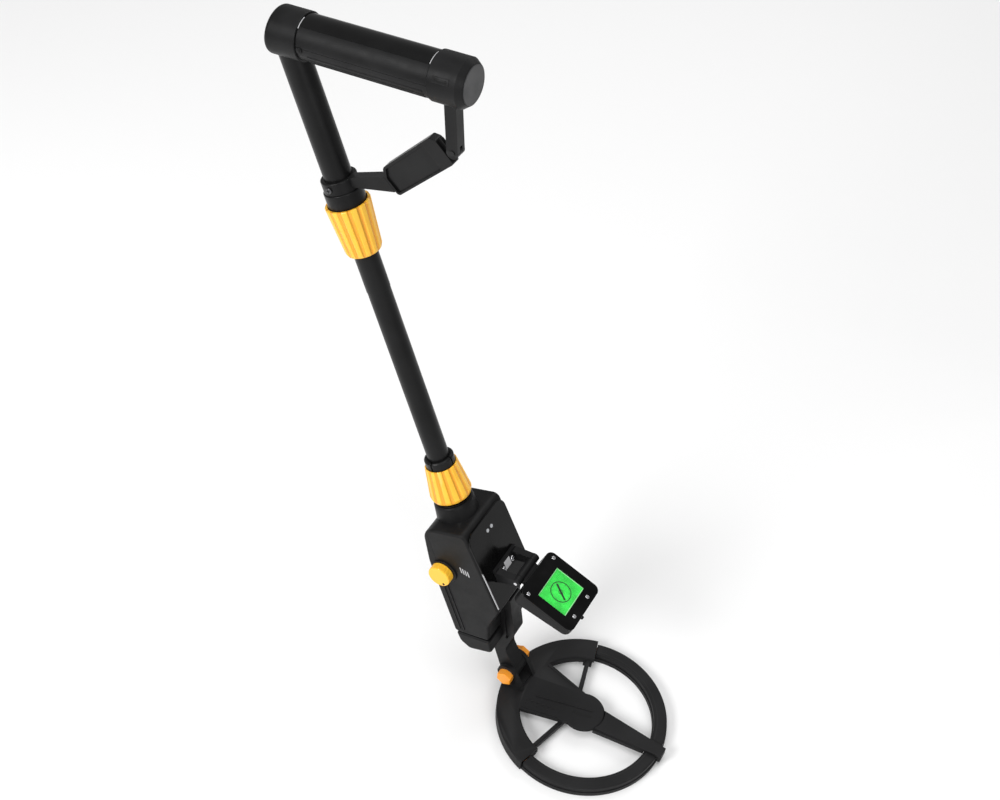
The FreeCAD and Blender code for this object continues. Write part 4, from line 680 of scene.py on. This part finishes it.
class DETECTOR_OT_grip(bpy.types.Operator):
    """Grip shells, caps and end disc, with the glossy insert, boss and catch"""
    bl_idname = "detector.grip"
    bl_label = "Grip"

    def execute(self, context):
        for node in ("rear_cap", "front_cap", "grip_bottom"):
            moulded_copy(node)
        moulded_copy("grip_top", material="shell_black")
        # The end disc's lighter grey is painted light, for the light its face catches.
        moulded_copy("end_disc", material="end_grey")
        self.insert()
        self.boss()
        self.catch()
        return {"FINISHED"}

    def insert(self):
        """Glossy strip along the grip's top with a pale line at each end as a painted highlight."""
        outer = BARREL_R + sizes().insert_rise
        strip = round_strip(outer, 0.0009, -37, 37, CAP_EDGE_REAR + 0.0006, CAP_EDGE_FRONT - 0.0006)
        smooth(strip)
        settle(strip, GRIP)
        give(strip, "grip_insert", "handle", "gloss_black")
        # Painted highlight: pale grey lines at the insert's ends, where the edges catch the light.
        lines = []
        for x0, start, end in ((CAP_EDGE_REAR - 0.0001, -42, -9), (CAP_EDGE_FRONT - 0.0005, -36, 6)):
            lines.append(round_strip(outer + 0.00012, 0.0007, start, end, x0, x0 + 0.0006))
        end_highlights = joined(lines)
        smooth(end_highlights)
        settle(end_highlights, GRIP)
        give(end_highlights, "grip_insert_end_highlights", "handle", "mark_grey")

    def boss(self):
        """Small moulded boss on the barrel, in front of the rear cap."""
        boss = joined([disc(0.0024, 0.0016, 0.0003), disc(0.0012, 0.0022, 0.0002)])
        smooth(boss)
        around = Matrix.Rotation(math.radians(95), 4, "X")
        along = Matrix.Translation((-0.0465, 0, 0))
        settle(boss, GRIP @ along @ around @ Matrix.Translation((0, 0, BARREL_R)))
        give(boss, "grip_boss", "handle", "shell_black")

    def catch(self):
        """Oval catch on the front cap's side, with a near-black bar as painted shade in its slot."""
        outer = bar((-0.0062, -0.0021, -0.0004), (0.0062, 0.0021, 0.0006), 0.0009)
        # Painted shade: the inner near-black bar stands for the shade inside the catch's slot.
        inner = bar((-0.0046, -0.0009, 0.0002), (0.0046, 0.0009, 0.0009), 0.0003)
        around = Matrix.Rotation(math.radians(66), 4, "X")
        place = GRIP @ Matrix.Translation((0.0625, 0, 0)) @ around @ Matrix.Translation((0, 0, 0.01705))
        for obj, name, material in ((outer, "cap_catch", "shell_black"),
                                    (inner, "cap_catch_slot_shade", "slot_shade_black")):
            smooth(obj)
            settle(obj, place)
            give(obj, name, "handle", material)


class DETECTOR_OT_brace(bpy.types.Operator):
    """Brace post, paddle and arm"""
    bl_idname = "detector.brace"
    bl_label = "Brace"

    def execute(self, context):
        for node in ("brace_post", "brace_paddle", "brace_arm"):
            moulded_copy(node, 0.0007)
        return {"FINISHED"}


class DETECTOR_OT_box(bpy.types.Operator):
    """Control box shells, panel, foot, stem and their surface details"""
    bl_idname = "detector.box"
    bl_label = "Control box"

    def execute(self, context):
        for node in ("housing", "back_cover", "front_panel", "foot", "stem", "battery_door", "knob_ring"):
            moulded_copy(node)
        self.rails()
        self.ticks()
        self.notched_strip()
        return {"FINISHED"}

    def rails(self):
        """Two thin raised rails on each side near the parting line."""
        rise = sizes().rail_height
        bars = []
        for side in (1, -1):
            for u in (-0.0176, -0.0134):
                y0, y1 = sorted((side * (BOX_HALF - 0.0004), side * (BOX_HALF + rise)))
                bars.append(bar((u, y0, 0.070), (u + 0.0009, y1, 0.128), 0.0003))
        rails = joined(bars)
        smooth(rails)
        settle(rails, SHAFT)
        give(rails, "side_rails", "control_box", "shell_black")

    def ticks(self):
        """Plain pale marks beside the side knob."""
        y1 = -BOX_HALF + 0.0001
        tick = bar((0, y1 - 0.0002, 0), (0.0011, y1, 0.0062), 0.00005)
        add_modifier(tick, "ARRAY", count=4, use_relative_offset=False, use_constant_offset=True,
                     constant_offset_displace=(0.0021, 0, -0.0012))
        settle(tick, SHAFT @ Matrix.Translation((0.0075, 0, 0.1440)))
        give(tick, "knob_marks", "control_box", "mark_grey")

    def notched_strip(self):
        """Finely notched pale strip along the panel's right edge."""
        y0 = -BOX_HALF + 0.0002
        notch = bar((0.036, y0, -0.0008), (0.0370, y0 + 0.0009, 0.0001), 0.00012)
        add_modifier(notch, "ARRAY", count=25, use_relative_offset=False, use_constant_offset=True,
                     constant_offset_displace=(0.0015, 0, 0))
        strip = joined([bar((0.034, y0 + 0.0001, -0.0009), (0.074, y0 + 0.0008, -0.0001), 0.0001), notch])
        settle(strip, PANEL)
        give(strip, "panel_edge_strip", "control_box", "mark_grey")


class DETECTOR_OT_knob(bpy.types.Operator):
    """Amber side knob"""
    bl_idname = "detector.knob"
    bl_label = "Side knob"

    def execute(self, context):
        moulded_copy("knob")
        return {"FINISHED"}


class DETECTOR_OT_display(bpy.types.Operator):
    """Tilting display with its lit dial"""
    bl_idname = "detector.display"
    bl_label = "Display"

    def execute(self, context):
        for node in ("display_back", "display_bezel", "display_bracket"):
            moulded_copy(node)
        self.dial()
        plate = bar((0.0425, -0.0042, 0.0030), (0.0500, 0.0042, 0.0034), 0.00015)
        settle(plate, PANEL)
        give(plate, "bracket_plate", "control_box", "mark_grey")
        return {"FINISHED"}

    def dial(self):
        """A generic dial: ring, needle and ticks, printed dark on the screen, and a paler edge line."""
        low, high = local_box("lcd", DISPLAY)
        centre = (low + high) / 2
        top = high.z + 0.00006
        radius = sizes().dial_radius
        middle = Matrix.Translation((centre.x, centre.y, 0))
        below, above = top - 0.00005, top + 0.00005
        marks = [hoop(radius, 0.0007, (centre.x, centre.y, top), 0.0001)]
        marks.append(hoop(radius * 0.22, 0.0004, (centre.x, centre.y, top), 0.0001))
        needle = bar((-radius * 0.80, -0.0009, below), (radius * 0.80, 0.0009, above), 0.00004)
        settle(needle, middle @ Matrix.Rotation(math.radians(-32), 4, "Z"))
        marks.append(needle)
        for k in range(12):
            tick = bar((radius * 0.82, -0.00018, below), (radius * 0.95, 0.00018, above), 0.00003)
            settle(tick, middle @ Matrix.Rotation(math.radians(30 * k), 4, "Z"))
            marks.append(tick)
        dial = joined(marks)
        settle(dial, DISPLAY)
        give(dial, "screen_dial", "display", "mark_dark")
        edges = []
        wide = 0.0007
        for x0, x1, y0, y1 in ((low.x, high.x, low.y, low.y + wide),
                               (low.x, high.x, high.y - wide, high.y),
                               (low.x, low.x + wide, low.y, high.y),
                               (high.x - wide, high.x, low.y, high.y)):
            edges.append(bar((x0, y0, below), (x1, y1, above), 0.00003))
        border = joined(edges)
        settle(border, DISPLAY)
        give(border, "screen_border", "display", "edge_green")


class DETECTOR_OT_coil(bpy.types.Operator):
    """Search coil: base, covers, web and spine, with the web's raised lines"""
    bl_idname = "detector.coil"
    bl_label = "Search coil"

    def execute(self, context):
        for node in ("coil_base", "front_cover", "coil_cover", "front_spine"):
            moulded_copy(node)
        self.ridges()
        self.hub_slot_shade()
        line = hoop(0.0672, 0.0006, (0, 0, 0.01102), 0.0003)
        give(line, "ring_line", "coil", "coil_black")
        return {"FINISHED"}

    def line(self, start, end, width, low, high):
        """A thin raised line between two places on the coil's top."""
        start, end = Vector((*start, 0)), Vector((*end, 0))
        length = (end - start).length
        obj = bar((0, -width / 2, low), (length, width / 2, high), min(width, high - low) * 0.3)
        along = (end - start).normalized()
        settle(obj, Matrix.Translation(start) @ Matrix.Rotation(math.atan2(along.y, along.x), 4, "Z"))
        return obj

    def ridges(self):
        """Raised lines on the web and a row of small raised dashes beside them."""
        rise = sizes().ridge_height
        top = WEB_TOP
        foot = top - SEAT
        lines = [self.line((-0.0440, -0.0090), (-0.0185, -0.0022), 0.0010, foot, top + rise),
                 self.line((-0.0500, 0.0255), (-0.0170, 0.0180), 0.0009, foot, top + rise * 0.6),
                 self.line((-0.0500, -0.0255), (-0.0170, -0.0180), 0.0009, foot, top + rise * 0.6)]
        for k in range(6):
            x = -0.0500 + 0.0050 * k
            y = -0.0165 + 0.0009 * k
            lines.append(self.line((x, y), (x + 0.0026, y + 0.0006), 0.0014, foot, top + rise * 0.6))
            if k % 2 == 0:
                lines.append(self.line((x + 0.0010, y - 0.0034), (x + 0.0032, y - 0.0029), 0.0012, foot,
                                       top + rise * 0.5))
        ridges = joined(lines)
        smooth(ridges)
        give(ridges, "web_ridges", "coil", "coil_black")

    def hub_slot_shade(self):
        """Raised line across the hub, with a near-black strip beside it as painted shade in a slot."""
        top = WEB_TOP
        ridge = self.line((-0.0185, -0.0022), (0.0075, 0.0040), 0.0010, top - SEAT, top + 0.0008)
        give(ridge, "hub_ridge", "coil", "coil_black")
        # Painted shade: a thin near-black strip stands for the shade inside a slot.
        slot = self.line((-0.0085, -0.0056), (0.0090, -0.0018), 0.0026, top - SEAT, top + 0.00012)
        give(slot, "hub_slot_shade", "coil", "slot_shade_black")


class DETECTOR_OT_hinge(bpy.types.Operator):
    """Orange hexagonal knob and nut at the coil hinge"""
    bl_idname = "detector.hinge"
    bl_label = "Coil hinge"

    def execute(self, context):
        for node in ("hinge_knob", "hinge_nut"):
            moulded_copy(node)
        return {"FINISHED"}


class DETECTOR_PT_panel(bpy.types.Panel):
    """Lists the modelling steps and the sizes and colours"""
    bl_idname = "DETECTOR_PT_panel"
    bl_label = "Metal detector"
    bl_space_type = "VIEW_3D"
    bl_region_type = "UI"
    bl_category = "Detector"

    def draw(self, context):
        column = self.layout.column()
        for step in STEPS:
            column.operator(step.bl_idname)
        for group in (sizes(), colours()):
            for key in group.bl_rna.properties.keys():
                if key not in ("rna_type", "name"):
                    column.prop(group, key)


STEPS = (DETECTOR_OT_finishes, DETECTOR_OT_stage, DETECTOR_OT_shaft, DETECTOR_OT_collars, DETECTOR_OT_grip,
         DETECTOR_OT_brace, DETECTOR_OT_box, DETECTOR_OT_knob, DETECTOR_OT_display, DETECTOR_OT_coil,
         DETECTOR_OT_hinge)
CLASSES = (DetectorSizes, DetectorColours, *STEPS, DETECTOR_PT_panel)


def register():
    for cls in CLASSES:
        bpy.utils.register_class(cls)
    bpy.types.Scene.detector_sizes = bpy.props.PointerProperty(type=DetectorSizes)
    bpy.types.Scene.detector_colours = bpy.props.PointerProperty(type=DetectorColours)


def unregister():
    del bpy.types.Scene.detector_colours
    del bpy.types.Scene.detector_sizes
    for cls in reversed(CLASSES):
        bpy.utils.unregister_class(cls)


def main():
    register()
    for step in STEPS:
        group, name = step.bl_idname.split(".")
        getattr(getattr(bpy.ops, group), name)()


if __name__ == "__main__":
    main()
